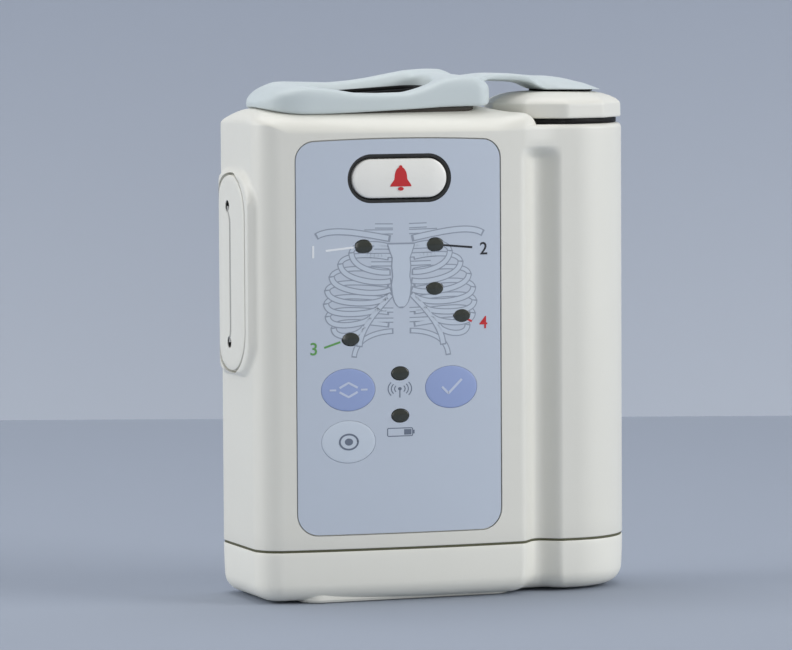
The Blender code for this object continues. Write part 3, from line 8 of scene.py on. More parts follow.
import logging
from dataclasses import dataclass, field, replace
from enum import Enum
from math import atan, comb, cos, pi, radians, sin, sqrt

import bmesh
import bpy
import numpy as np
from bpy.types import ID, Material, Mesh, Node, NodeTree, Object, ShaderNodeTree
from mathutils import Matrix, Vector


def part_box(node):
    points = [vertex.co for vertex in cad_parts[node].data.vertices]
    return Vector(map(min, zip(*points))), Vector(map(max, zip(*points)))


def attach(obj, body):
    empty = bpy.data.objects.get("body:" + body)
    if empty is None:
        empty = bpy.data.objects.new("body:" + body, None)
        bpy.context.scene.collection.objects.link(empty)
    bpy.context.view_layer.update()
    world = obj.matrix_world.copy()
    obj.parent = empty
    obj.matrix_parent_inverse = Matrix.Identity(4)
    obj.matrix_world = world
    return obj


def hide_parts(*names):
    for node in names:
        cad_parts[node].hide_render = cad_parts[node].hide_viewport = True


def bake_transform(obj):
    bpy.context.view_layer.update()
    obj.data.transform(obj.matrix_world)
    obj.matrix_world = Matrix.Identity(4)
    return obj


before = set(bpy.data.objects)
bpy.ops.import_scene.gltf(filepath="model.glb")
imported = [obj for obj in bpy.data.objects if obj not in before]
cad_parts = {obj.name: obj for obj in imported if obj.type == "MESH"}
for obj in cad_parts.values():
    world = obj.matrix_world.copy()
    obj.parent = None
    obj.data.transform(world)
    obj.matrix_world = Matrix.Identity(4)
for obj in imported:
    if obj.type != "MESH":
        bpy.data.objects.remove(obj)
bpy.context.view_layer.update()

log = logging.getLogger("transmitter")

Array = np.ndarray
Pair = tuple[float, float]
Triple = tuple[float, float, float]
Quad = tuple[float, float, float, float]
Stations = tuple[Pair, ...]
Source = tuple[Node, str | int]

# Points nearer than the weld are one point, and shorter edges than the shortest are taken out
WELD = 2e-7
SHORTEST_EDGE = 1e-7

# Edges bent more than this stay crisp: on cutters, on the case, on small parts and on rubber
CUTTER_CRISP_DEG = 30.0
CASE_CRISP_DEG = 28.0
SMALL_CRISP_DEG = 35.0
RUBBER_CRISP_DEG = 60.0

# The averaging of curves: windows to a station, samples in a window, and the bell's fall
WINDOWS_TO_STATION = 2.2
WINDOW_SAMPLES = 13
BELL_FALL = 2

# How many points each stretch of the case's contour gets
FACE_POINTS = 44
ARC_POINTS = 18
RUN_POINTS = 6
END_POINTS = 65
BACK_POINTS = 14


# Numbers and curves that several pieces share

def smooth_max(a: Array, b: Array, reach: float) -> Array:
    """The larger of two values, rounded where they are nearer than reach.

    Formula: max(a, b) plus a quarter of reach times the square of how far inside the reach they are.

    Args:
        a: First values.
        b: Second values.
        reach: Difference under which the corner is rounded.

    Returns:
        The rounded maximum.
    """
    near = np.maximum(reach - np.abs(a - b), 0.0) / reach
    return np.maximum(a, b) + near**2 * reach / 4


def smooth_min(a: Array, b: Array, reach: float) -> Array:
    """The smaller of two values, rounded where they are nearer than reach."""
    return -smooth_max(-a, -b, reach)


def smooth_step(value: Array) -> Array:
    """Eases from 0 to 1: three squares minus two cubes of the value, held between 0 and 1."""
    held = np.clip(value, 0.0, 1.0)
    return held**2 * (3 - 2 * held)


def signed_power(value: Array, power: float) -> Array:
    """The value's size raised to a power, with its sign kept."""
    return np.sign(value) * np.abs(value) ** power


def curve_through(x: Array, stations: Stations) -> Array:
    """A smooth curve through stations.

    Formula: straight interpolation, averaged with a bell-shaped weight over a small window.

    Args:
        x: Where to read the curve.
        stations: Pairs of place and value, in rising order of place.

    Returns:
        The curve's values.
    """
    places = np.array([s[0] for s in stations])
    values = np.array([s[1] for s in stations])
    window = (places[-1] - places[0]) / (WINDOWS_TO_STATION * len(stations))
    shifts = np.linspace(-1, 1, WINDOW_SAMPLES)
    weights = np.exp(-BELL_FALL * shifts**2)
    samples = np.asarray(x)[..., None] + shifts * window
    return (np.interp(samples, places, values) * weights).sum(-1) / weights.sum()


@dataclass
class MeshMaker:
    """Gathers grids and rings of points into one mesh."""

    name: str
    points: list[Array] = field(default_factory=list)
    faces: list[list[int]] = field(default_factory=list)
    count: int = 0

    def _take(self, grid: Array) -> Array:
        """Stores the points of a grid and returns their numbers in the grid's shape."""
        start = self.count
        self.points.append(grid.reshape(-1, 3))
        self.count += grid.shape[0] * grid.shape[1]
        return np.arange(start, self.count).reshape(grid.shape[:2])

    def rings(self, grid: Array | list[Array]) -> "MeshMaker":
        """Joins closed rings, one per row of the grid, and closes the first and the last with a face.

        Args:
            grid: Points of shape (rings, points, 3), or a list of rings.

        Returns:
            The maker itself.
        """
        index = self._take(np.asarray(grid))
        turned = np.roll(index, -1, axis=1)
        quads = columns(index[:-1], turned[:-1], turned[1:], index[1:])
        self.faces += [*quads.reshape(-1, 4).tolist(), index[0][::-1].tolist(), index[-1].tolist()]
        return self

    def loop_of_rings(self, grid: Array | list[Array]) -> "MeshMaker":
        """Joins rings whose last row meets the first, as on a closed hoop."""
        index = self._take(np.asarray(grid))
        across, along = np.roll(index, -1, axis=1), np.roll(index, -1, axis=0)
        both = np.roll(along, -1, axis=1)
        self.faces += columns(index, across, both, along).reshape(-1, 4).tolist()
        return self

    def slab(self, front: Array, back: Array) -> "MeshMaker":
        """A closed slab between two open grids of the same shape.

        Args:
            front: Points of the outer face.
            back: Points of the inner face.

        Returns:
            The maker itself.
        """
        a, b = self._take(front), self._take(back)
        for index, step in ((a, 1), (b, -1)):
            quads = columns(index[:-1, :-1], index[:-1, 1:], index[1:, 1:], index[1:, :-1])
            self.faces += quads[..., ::step].reshape(-1, 4).tolist()
        edge = np.concatenate([a[0, :-1], a[:-1, -1], a[-1, :0:-1], a[:0:-1, 0]])
        under = np.concatenate([b[0, :-1], b[:-1, -1], b[-1, :0:-1], b[:0:-1, 0]])
        sides = columns(edge, under, np.roll(under, -1), np.roll(edge, -1))
        self.faces += sides.tolist()
        return self

    def piece(self, crisp_deg: float = CUTTER_CRISP_DEG) -> Object:
        """Builds the mesh and puts it in the scene.

        Args:
            crisp_deg: Edges bent more than this stay crisp.

        Returns:
            The new object.
        """
        mesh = bpy.data.meshes.new(self.name)
        mesh.from_pydata(np.concatenate(self.points).tolist(), [], self.faces)
        return placed(self.name, tidied(mesh, crisp_deg))


def shaded(mesh: Mesh, crisp_deg: float) -> Mesh:
    """Shades a mesh smoothly between its crisp edges."""
    mesh.shade_smooth()
    mesh.set_sharp_from_angle(angle=radians(crisp_deg))
    return mesh


def tidied(mesh: Mesh, crisp_deg: float) -> Mesh:
    """Welds doubles, turns faces outwards and shades the mesh."""
    work = bmesh.new()
    work.from_mesh(mesh)
    bmesh.ops.remove_doubles(work, verts=work.verts, dist=WELD)
    bmesh.ops.dissolve_degenerate(work, edges=work.edges, dist=SHORTEST_EDGE)
    bmesh.ops.recalc_face_normals(work, faces=work.faces)
    work.to_mesh(mesh)
    work.free()
    return shaded(mesh, crisp_deg)


def placed(name: str, data: ID) -> Object:
    """Links an object to the scene under a name, at the origin, with a mesh or other data."""
    obj = bpy.data.objects.new(name, data)
    bpy.context.scene.collection.objects.link(obj)
    return obj


def carve(obj: Object, cutter: Object, crisp_deg: float = CASE_CRISP_DEG) -> None:
    """Takes one shape away from another and keeps the result as a plain mesh.

    Args:
        obj: The piece.
        cutter: The shape that is taken away. It is removed afterwards.
        crisp_deg: Edges bent more than this stay crisp.
    """
    step = obj.modifiers.new("carve", "BOOLEAN")
    step.operation = "DIFFERENCE"
    step.object = cutter
    step.solver = "EXACT"
    graph = bpy.context.evaluated_depsgraph_get()
    result = bpy.data.meshes.new_from_object(obj.evaluated_get(graph))
    obj.modifiers.remove(step)
    bpy.data.objects.remove(cutter, do_unlink=True)
    result.name = obj.name
    obj.data = shaded(result, crisp_deg)


def dress(obj: Object, body: str, slot: str, finish: Material, *nodes: str) -> None:
    """Gives a piece its material and its body, and hides the nodes that it stands for.

    Args:
        obj: The piece.
        body: The body that it rides on.
        slot: Its slot's name; not used.
        finish: Its material.
        nodes: The solids that it replaces, if any.
    """
    obj.data.materials.clear()
    obj.data.materials.append(finish)
    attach(obj, body)
    if nodes:
        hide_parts(*nodes)
    log.info("%s: %d faces, rides on %s", obj.name, len(obj.data.polygons), body)


# Flat outlines, as arrays of two columns

def columns(*parts: Array) -> Array:
    """Puts arrays of one shape together as the coordinates of points, or as the corners of faces."""
    return np.stack(parts, axis=-1)


def full_turn(count: int) -> Array:
    """The angles of a whole turn from 0, in even steps."""
    return np.linspace(0, 2 * pi, count, endpoint=False)


def ellipse(centre: Pair, width: float, height: float, count: int = 96) -> Array:
    """Points on an ellipse: half its width times the cosine, half its height times the sine."""
    turn = full_turn(count)
    x, y = centre[0] + width / 2 * np.cos(turn), centre[1] + height / 2 * np.sin(turn)
    return columns(x, y)


def pill(centre: Pair, width: float, height: float, count: int = 160) -> tuple[Array, Array]:
    """A stadium and, for each of its points, the nearest point of its middle line.

    Formula: a circle of half the height, whose right half is moved right and whose left half is
    moved left by half the straight length, with the straight runs spread between them.

    Args:
        centre: Middle of the stadium.
        width: Overall width.
        height: Overall height.
        count: How many points.

    Returns:
        The outline and the matching points of the middle line.
    """
    radius, straight = height / 2, (width - height) / 2
    length = 2 * pi * radius + 4 * straight
    at = np.linspace(0, length, count, endpoint=False)
    quarter = pi * radius / 2
    ends = np.array([
        0, quarter, quarter + 2 * straight, 3 * quarter + 2 * straight, 3 * quarter + 4 * straight, length,
    ])
    angle = np.interp(at, ends, np.array([0, 0.5, 0.5, 1.5, 1.5, 2.0]) * pi)
    middle = np.interp(at, ends, np.array([1, 1, -1, -1, 1, 1.0])) * straight
    spine = columns(centre[0] + middle, np.full(count, centre[1]))
    return spine + radius * columns(np.cos(angle), np.sin(angle)), spine


def rounded_box(centre: Pair, width: float, height: float, radius: float, count: int = 24) -> Array:
    """A rectangle with round corners: each quarter of a circle is moved to its corner's centre."""
    turn = np.linspace(0, pi / 2, count)
    corners = []
    for i, (sx, sy) in enumerate(((1, 1), (-1, 1), (-1, -1), (1, -1))):
        at = turn + i * pi / 2
        x = centre[0] + sx * (width / 2 - radius) + radius * np.cos(at)
        y = centre[1] + sy * (height / 2 - radius) + radius * np.sin(at)
        corners.append(columns(x, y))
    return np.concatenate(corners)


def at_height(outline: Array, z: float | Array) -> Array:
    """Lifts a flat outline of x and y to a height, or each of its points to its own."""
    return np.column_stack([outline, np.full(len(outline), z)])


def at_side(outline: Array, x: float | Array) -> Array:
    """Moves a flat outline of y and z to a place along X, or each of its points to its own."""
    return np.column_stack([np.full(len(outline), x), outline])


@dataclass(frozen=True)
class CaseForm:
    """The case's outline at any height, worked out from a few sizes."""

    left: float = -0.048
    right: float = 0.0495
    depth: float = 0.038
    corner: float = 0.007
    crown_apex: float = 0.0058
    crown_drop: float = 0.0035
    crown_span: float = 0.045
    main_right: float = 0.023
    inner_corner: float = 0.0056
    ease_width: float = 0.01
    tube_radius: float = 0.0174
    groove_left: float = 0.017
    groove_right: float = 0.0283
    groove_runs: Pair = (0.0056, 0.0053)
    groove_floor: float = 0.0144
    groove_top: float = 0.1084
    groove_end: float = 0.0034
    cap_x: float = 0.0328
    cap_room: float = 0.0174
    cap_room_round: float = 0.0006
    lip_x: float = 0.014
    switch_deg: float = 43.0
    tube_share_start: float = -0.6
    boss_face: float = -0.0493
    wrap_start: float = 0.0095
    wrap_rate: float = 50.0
    boss_y: float = 0.0032
    boss_z: float = 0.0784
    boss_width: float = 0.029
    boss_height: float = 0.05
    boss_corner: float = 0.0094
    boss_slope: float = 0.0018
    lid_top: float = 0.1177
    lid_fall: float = 0.0017
    lid_reach: float = 0.012
    lid_right_fall: float = 0.0015
    lid_right_share: float = 0.9
    lid_right: float = 0.01
    lid_right_run: float = 0.01
    top_right_share: float = 0.9
    round_start: float = 0.1117
    left_round_start: float = 0.1138
    left_round_x: float = -0.04
    left_round_run: float = 0.006

    @property
    def tube_x(self) -> float:
        """The tube's axis."""
        return self.right - self.tube_radius

    def front(self, x: Array) -> Array:
        """The crowned front: half the depth, drawn in by the square of the distance from the apex."""
        share = (np.asarray(x) - self.crown_apex) / self.crown_span
        return -self.depth / 2 + self.crown_drop * share**2

    def lid(self, x: Array, y: Array) -> Array:
        """The top of the block: it falls with the square of y, and less so at the right."""
        right = smooth_step((x - self.lid_right) / self.lid_right_run)
        fall = self.lid_fall * (1 - self.lid_right_share * right)
        return self.lid_top - fall * (y / self.lid_reach) ** 2 - self.lid_right_fall * right

    def shoulder(self, x: Array) -> Array:
        """Where the round of the top starts: lower on the front and back than on the left end."""
        left = smooth_step((self.left_round_x - x) / self.left_round_run)
        return self.round_start + (self.left_round_start - self.round_start) * left

    def groove_at(self, z: float) -> float:
        """The groove's share of its full depth at a height: 1 below, eased to 0 at its top."""
        return float(smooth_step((self.groove_top - z) / self.groove_end))

    def _grooved(self, x: Array, y: Array, share: float, inset: float) -> Array:
        """Draws a contour in to the groove's floor between the groove's two eased flanks."""
        left = smooth_step((x - self.groove_left + inset / 2) / self.groove_runs[0])
        right = smooth_step((self.groove_right + inset / 2 - x) / self.groove_runs[1])
        return y + (self.groove_floor - inset - y) * left * right * share

    def _side(self, block: float, tube: float, groove: float, with_tube: bool, back: bool) -> Array:
        """The contour from the start of the inner corner to the tube's arc, on the front or the back.

        Formula: with the tube, the block's face eased to the tube's flat side, and the groove taken
        out of it; without the tube, the inner corner's arc.

        Args:
            block: How far the main block is drawn in.
            tube: How far the tube is drawn in.
            groove: The groove's share of its full depth.
            with_tube: Whether the contour goes on to the tube.
            back: Whether it is the back's side.

        Returns:
            Points of shape (count, 2).
        """
        radius = self.inner_corner - block
        start = self.main_right - self.inner_corner
        run = np.linspace(self.lip_x, start, RUN_POINTS, endpoint=False)
        angles = np.radians(np.linspace(0, self.switch_deg, ARC_POINTS, endpoint=False))
        arc_x = start + radius * np.sin(angles)
        if with_tube:
            first = start + radius * sin(radians(self.switch_deg))
            far = np.linspace(first, self.tube_x, FACE_POINTS, endpoint=False)
            x = np.concatenate([run, arc_x, far])
            face = (np.full(len(x), self.depth / 2) if back else -self.front(x)) - block
            ease = smooth_step((x - start) / self.ease_width)
            y = self._grooved(x, face + (self.tube_radius - tube - face) * ease, groove, tube)
        else:
            edge = self.depth / 2 if back else -float(self.front(start))
            rest = np.radians(np.linspace(self.switch_deg, 90, FACE_POINTS, endpoint=False))
            turn = np.concatenate([angles, rest])
            run_y = (np.full(RUN_POINTS, self.depth / 2) if back else -self.front(run)) - block
            x = np.concatenate([run, start + radius * np.sin(turn)])
            y = np.concatenate([run_y, edge - self.inner_corner + radius * np.cos(turn)])
        return columns(x, y if back else -y)

    def ring(
        self, block: float, tube: float, groove: float, with_tube: bool = True, room: float = 0.0,
    ) -> Array:
        """One closed contour, counter-clockwise from the left face.

        Args:
            block: How far the main block is drawn in.
            tube: How far the tube is drawn in.
            groove: The groove's share of its full depth.
            with_tube: Whether the contour goes round the tube, or ends at the block's right side.
            room: How far the hollow round the cap is widened.

        Returns:
            Points of shape (count, 2).
        """
        radius = self.corner - block
        centre_x = self.left + self.corner
        lean = atan(2 * self.crown_drop * abs(centre_x - self.crown_apex) / self.crown_span**2)
        end_x = centre_x - radius * sin(lean)
        centre_y = float(self.front(end_x)) + block + radius * cos(lean)
        back_y = self.depth / 2 - self.corner
        left_y = np.linspace(back_y, centre_y, FACE_POINTS, endpoint=False)
        left = columns(np.full(FACE_POINTS, self.left + block), left_y)
        turn = np.linspace(pi, 1.5 * pi - lean, ARC_POINTS, endpoint=False)
        corner = columns(centre_x + radius * np.cos(turn), centre_y + radius * np.sin(turn))
        x = np.linspace(end_x, self.lip_x, FACE_POINTS, endpoint=False)
        crown = columns(x, self.front(x) + block)
        near = self._side(block, tube, groove, with_tube, False)
        if with_tube:
            turn = np.linspace(-pi / 2, pi / 2, END_POINTS)
            size = self.tube_radius - tube
            end = columns(self.tube_x + size * np.cos(turn), size * np.sin(turn))
        else:
            low = float(self.front(self.main_right - self.inner_corner)) + self.inner_corner
            y = np.linspace(low, self.depth / 2 - self.inner_corner, END_POINTS)
            end = columns(np.full(END_POINTS, self.main_right - block), y)
        far = self._side(block, tube, groove, with_tube, True)[::-1]
        back_x = np.linspace(self.lip_x, centre_x, BACK_POINTS + 1)[1:]
        back = columns(back_x, np.full(BACK_POINTS, self.depth / 2 - block))
        turn = np.linspace(pi / 2, pi, ARC_POINTS, endpoint=False)[1:]
        last = columns(centre_x + radius * np.cos(turn), back_y + radius * np.sin(turn))
        points = np.concatenate([left, corner, crown, near, end, far, back, last])
        if not with_tube:
            hollow = np.sqrt(np.maximum((self.cap_room + room) ** 2 - points[:, 1] ** 2, 0.0))
            edge = np.where(hollow > 0, self.cap_x - hollow, 1.0)
            points[:, 0] = smooth_min(points[:, 0], edge, self.cap_room_round)
        return points

    def top_ring(self, inset: float, room: float) -> Array:
        """The block's contour in its top round, which is drawn in less at the right end."""
        wide = self.ring(inset, 0, 0, False, room)
        narrow = self.ring(inset * self.top_right_share, 0, 0, False, room)
        return wide + (narrow - wide) * self.tube_share()[:, None]

    def tube_share(self) -> Array:
        """For each point of a contour: 0 on the block, 1 on the tube, eased over the inner corner."""
        ease = smooth_step(np.linspace(self.tube_share_start, 1, ARC_POINTS))
        side = np.concatenate([np.zeros(RUN_POINTS), ease, np.ones(FACE_POINTS)])
        first, last = np.zeros(2 * FACE_POINTS + ARC_POINTS), np.zeros(BACK_POINTS + ARC_POINTS - 1)
        return np.concatenate([first, side, np.ones(END_POINTS), side[::-1], last])

    def with_boss(self, rings: Array) -> Array:
        """Raises the oblong boss on the left face.

        Formula: inside a rounded rectangle, x is moved to the boss's face, eased over its slope.
        The boss's face falls away to the back with the wrap.

        Args:
            rings: Points of shape (rings, count, 3).

        Returns:
            The moved points.
        """
        dy = np.abs(rings[..., 1] - self.boss_y) - (self.boss_width / 2 - self.boss_corner)
        dz = np.abs(rings[..., 2] - self.boss_z) - (self.boss_height / 2 - self.boss_corner)
        outside = np.hypot(np.maximum(dy, 0), np.maximum(dz, 0)) + np.minimum(np.maximum(dy, dz), 0)
        share = smooth_step((self.boss_corner - outside) / self.boss_slope)
        share = np.where(rings[..., 0] < self.left + self.corner, share, 0.0)
        moved = rings.copy()
        raised = np.minimum(self.boss_face + self.wrap(rings[..., 1]), rings[..., 0])
        moved[..., 0] += (raised - rings[..., 0]) * share
        return moved

    def wrap(self, y: Array) -> Array:
        """How far the boss's face lies back, by the square of the distance past the wrap's start."""
        return self.wrap_rate * np.maximum(y - self.wrap_start, 0.0) ** 2


@dataclass
class Case:
    """The two case halves and the side cover."""

    form: CaseForm = CaseForm()
    seam_low: float = 0.01254
    seam_high: float = 0.01304
    seal_depth: float = 0.00022
    seal_width: float = 0.002
    seam_round: float = 0.0003
    bottom: float = 0.0006
    bottom_round: float = 0.0042
    bottom_taper: float = 0.0006
    tube_top: float = 0.1131
    tube_round: float = 0.0012
    top_round: float = 0.004
    tube_level_deg: float = 20.0
    step_shares: Triple = (0.12, 0.5, 1.0)
    hollow_edge: float = 0.0006
    hollow_edge_share: float = 0.2
    plain_z: float = 0.11
    lid_spine: Pair = (-0.036, 0.0)
    lid_shares: tuple[float, ...] = (0.9, 0.78, 0.65, 0.52, 0.4, 0.28, 0.16, 0.05)
    mouth_radius: float = 0.0149
    mouth_rows: Stations = ((1.0, 0.1075), (1.0, 0.1131), (1.006, 0.1133), (1.02, 0.1135), (1.02, 0.13))
    slot_x: float = -0.0144
    slot_size: Triple = (0.0246, 0.0098, 0.0014)
    slot_z: Pair = (0.104, 0.125)
    foot: Quad = (-0.0374, 0.0166, 0.015, 0.005)
    foot_rows: Stations = ((0.001, 0.0), (0.0003, 0.0003), (0.0, 0.0008), (0.0, 0.002))
    front_bars: Triple = (0.0003, -0.03, -0.012)
    cover_size: Triple = (0.0208, 0.0468, 0.01)
    cover_thickness: float = 0.0016
    cover_gap: Pair = (0.0008, 0.0006)
    cover_screws: Stations = ((0.004, 0.0617), (0.0048, 0.0943))
    cover_screw_radius: float = 0.00135
    score_line_y: float = 0.003
    cover_score_width: float = 0.0012
    cover_score_depth: float = 0.0008
    score_jogs: Pair = (0.09, 0.12)
    # Side room and depths of the grey strip of painted shade in the score.
    shade_strip_side: float = 0.00006
    shade_strip_depths: Pair = (0.0006, 0.0001)
    cover_rim: float = 0.0004
    screw_room: float = 0.00006
    cut_from: float = 0.001
    cut_to: float = 0.002
    recess_from: float = -0.053
    well_clearance: float = 0.0003
    well_depth: float = 0.0017
    screw_rows: tuple[tuple[float, float, bool], ...] = (
        (1.0, 0.0015, False), (1.0, 0.00025, False), (0.93, 0.00015, False), (0.68, 0.0002, False),
        (0.56, 0.00022, True), (0.54, 0.0009, True), (0.1, 0.0009, True),
    )

    @staticmethod
    def wall_heights() -> Array:
        """The wall's heights: few low down, close ones beside the boss and at the groove's end."""
        low, beside = np.linspace(0.017, 0.0515, 10), np.arange(0.052, 0.1012, 0.0006)
        return np.concatenate([low, beside, np.arange(0.1015, 0.1084, 0.0004)])

    def _seam_rings(self, edge: float, way: int) -> list[Array]:
        """The small round at one edge of the seam, from its wall inwards.

        Args:
            edge: The edge's height.
            way: 1 where the wall is above the edge, -1 where it is below.

        Returns:
            Rings, the edge's own one last.
        """
        rings = []
        for share in np.linspace(0, 1, 4):
            inset = self.seam_round * (1 - sqrt(1 - share**2))
            z = edge + way * self.seam_round * (1 - share)
            rings.append(at_height(self.form.ring(inset, inset, 1.0), z))
        return rings

    def shell_rings(self) -> Array:
        """The upper case from the seam to its top: side walls, tube rim, tube top and top round."""
        form = self.form
        rings = self._seam_rings(self.seam_high, 1)[::-1]
        for z in self.wall_heights():
            rings.append(at_height(form.ring(0, 0, form.groove_at(z)), z))
        rings.append(at_height(form.ring(0, 0, 0), self.plain_z))
        level = radians(self.tube_level_deg)
        for share in np.linspace(0, 1, 9):
            rim = share * pi / 2
            outline = form.ring(self._inset(share * level), self.tube_round * (1 - cos(rim)), 0)
            tube_z = self.tube_top - self.tube_round * (1 - sin(rim))
            rings.append(self._lifted(outline, share * level, tube_z))
        block = self._inset(level)
        wide, narrow = form.ring(block, self.tube_round, 0), form.top_ring(block, 0)
        for share in self.step_shares:
            rings.append(self._lifted(wide + (narrow - wide) * share, level, self.tube_top))
        for angle in np.linspace(level, pi / 2, 13)[1:]:
            share = (sin(angle) - sin(level)) / (1 - sin(level))
            edge = max(0.0, share - (1 - self.hollow_edge_share)) / self.hollow_edge_share
            room = self.hollow_edge * (1 - sqrt(max(0.0, 1 - edge**2)))
            outline = form.top_ring(self._inset(angle), room)
            top = form.lid(outline[:, 0], outline[:, 1])
            rings.append(self._lifted(outline, angle, self.tube_top + (top - self.tube_top) * share))
        spine = columns(np.clip(outline[:, 0], *self.lid_spine), np.zeros(len(outline)))
        for share in self.lid_shares:
            inner = spine + (outline - spine) * share
            rings.append(at_height(inner, form.lid(inner[:, 0], inner[:, 1])))
        return form.with_boss(np.array(rings))

    def _inset(self, angle: float) -> float:
        """How far the top round has drawn the block in at an angle of its arc."""
        return self.top_round * (1 - cos(angle))

    def _lifted(self, outline: Array, angle: float, tube_z: float | Array) -> Array:
        """A contour in the zone of the top round.

        Formula: block points stand at the shoulder plus the sine of the angle times the rise to the
        lid; tube points stand at their own height; the two are mixed by the tube share.

        Args:
            outline: The flat contour.
            angle: Angle on the top round's arc.
            tube_z: Height of the tube points.

        Returns:
            Points of shape (count, 3).
        """
        form = self.form
        low = form.shoulder(outline[:, 0])
        block_z = low + (form.lid(outline[:, 0], outline[:, 1]) - low) * sin(angle)
        share = form.tube_share()
        return np.column_stack([outline, block_z * (1 - share) + tube_z * share])

    def _tapered(self, z: float) -> float:
        """How far the lower case is drawn in at a height, by the square of the way below the seam."""
        return self.bottom_taper * ((self.seam_low - z) / self.seam_low) ** 2

    def cover_rings(self) -> Array:
        """The lower case from its flat underside to the seam."""
        rings = []
        for angle in np.linspace(pi / 2, 0, 12):
            z = self.bottom + self.bottom_round * (1 - sin(angle))
            inset = self.bottom_round * (1 - cos(angle)) + self._tapered(z)
            rings.append(at_height(self.form.ring(inset, inset, 1.0), z))
        wall = (self.bottom + self.bottom_round, self.seam_low - self.seam_round)
        for z in np.linspace(*wall, 7)[1:-1]:
            inset = self._tapered(z)
            rings.append(at_height(self.form.ring(inset, inset, 1.0), z))
        return np.array(rings + self._seam_rings(self.seam_low, -1))

    def build_shell(self, panel: "Panel", plastic: Material) -> None:
        """The upper case, with its mouth, the front's recess and holes, and the cover's recess."""
        shell = MeshMaker("upper_case").rings(self.shell_rings()).piece(CASE_CRISP_DEG)
        carve(shell, self._mouth())
        carve(shell, panel.recess())
        carve(shell, panel.holes("case_holes", panel.case_rim, *self.front_bars))
        width, height, radius = self.cover_size
        form = self.form
        side_gap, end_gap = self.cover_gap
        size = (width + 2 * side_gap, height + 2 * end_gap, radius + end_gap)
        outline = rounded_box((form.boss_y, form.boss_z), *size)
        floor = form.boss_face + self.cover_thickness + self.well_clearance
        rings = np.array([at_side(outline, x) for x in (self.recess_from, floor)])
        carve(shell, MeshMaker("cover_recess").rings(rings).piece())
        slot = rounded_box((self.slot_x, 0.0), *self.slot_size, 10)
        rings = np.array([at_height(slot, z) for z in self.slot_z])
        carve(shell, MeshMaker("socket_slot").rings(rings).piece())
        dress(shell, "case", "case_plastic", plastic, "main_shell")

    def _mouth(self) -> Object:
        """The round mouth under the cap, with a small round at its edge."""
        turn = full_turn(120)
        circle, axis = columns(np.cos(turn), np.sin(turn)) * self.mouth_radius, (self.form.cap_x, 0)
        rows = [at_height(circle * share + axis, z) for share, z in self.mouth_rows]
        return MeshMaker("mouth").rings(rows).piece()

    def build_cover(self, plastic: Material) -> None:
        """The lower case with its screw wells, and the foot pad under it, in the case's plastic painted
        lighter: painted light on the lower half.
        """
        cover = MeshMaker("lower_case").rings(self.cover_rings()).piece(CASE_CRISP_DEG)
        x0, x1, half, radius = self.foot
        rows = []
        for inset, z in self.foot_rows:
            size = (x1 - x0 - 2 * inset, 2 * (half - inset), radius - inset)
            rows.append(at_height(rounded_box(((x0 + x1) / 2, 0), *size), z))
        foot = MeshMaker("foot_pad").rings(rows).piece(CASE_CRISP_DEG)
        carve(foot, self._wells())
        dress(foot, "case", "case_plastic", plastic)
        carve(cover, self._wells())
        dress(cover, "case", "case_plastic", plastic, "bottom_cover")

    def _wells(self) -> Object:
        """Four round wells, each a little wider than the case screw that it hides."""
        wells = MeshMaker("wells")
        turn = full_turn(40)
        for number in range(1, 5):
            low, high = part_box(f"case_screw_{number}")
            radius = (high.x - low.x) / 2 + self.well_clearance
            circle = columns(np.cos(turn), np.sin(turn)) * radius
            circle += ((low.x + high.x) / 2, (low.y + high.y) / 2)
            ends = (-self.well_clearance * 5, low.z + self.well_depth)
            wells.rings([at_height(circle, z) for z in ends])
        return wells.piece()

    def build_seal(self, rubber: Material) -> None:
        """The olive seal in the seam: the contour drawn in twice, at the seam's two edges."""
        form, middle = self.form, (self.seam_low + self.seam_high) / 2
        half = (self.seam_high - self.seam_low) / 2 + self.seam_round / 2
        deep, near = self.seal_width, self.seal_depth
        corners = ((deep, -half), (near, -half), (near, half), (deep, half))
        rings = [at_height(form.ring(inset, inset, 1.0), middle + rise) for inset, rise in corners]
        seal = MeshMaker("seam_seal").loop_of_rings(rings).piece(SMALL_CRISP_DEG)
        dress(seal, "case", "seal_rubber", rubber, "seam_gasket")

    def build_side_cover(self, plastic: Material) -> None:
        """The oblong side cover: rounded rim, scored line and two screw holes.

        Formula: copies of the outline drawn in along a quarter circle at the rim, and on to the
        middle, all lying back with the boss's wrap.
        """
        form, (width, height, radius) = self.form, self.cover_size
        rim, middle = self.cover_rim, (form.boss_y, form.boss_z)
        plate = rounded_box(middle, width, height, radius)
        rows = [at_side(plate, form.boss_face + np.full(len(plate), self.cover_thickness))]
        stations = [(0.0, rim), (rim * 0.3, rim * 0.3), (rim, 0.0)]
        stations += [(inset, 0.0) for inset in np.linspace(0.0016, radius - 0.0002, 9)]
        for inset, depth in stations:
            shape = rounded_box(middle, width - 2 * inset, height - 2 * inset, radius - inset)
            rows.append(at_side(shape, form.boss_face + (depth + form.wrap(shape[:, 0]))))
        cover = MeshMaker("side_cover_plate").rings(rows).piece(CASE_CRISP_DEG)
        deep, half = self.cover_score_depth, self.cover_score_width / 2
        corners = ((-1, -self.cut_from), (1, -self.cut_from), (0.8, deep), (-0.8, deep))
        carve(cover, MeshMaker("cover_cuts").rings(self._score(corners, half)).piece())
        holes = MeshMaker("cover_screw_holes")
        across = 2 * (self.cover_screw_radius + self.screw_room)
        for place in self.cover_screws:
            shape = ellipse(place, across, across, 32)
            ends = (form.boss_face - self.cut_from, form.boss_face + self.cut_to)
            holes.rings([at_side(shape, x) for x in ends])
        carve(cover, holes.piece())
        dress(cover, "case", "case_plastic", plastic, "side_cover")

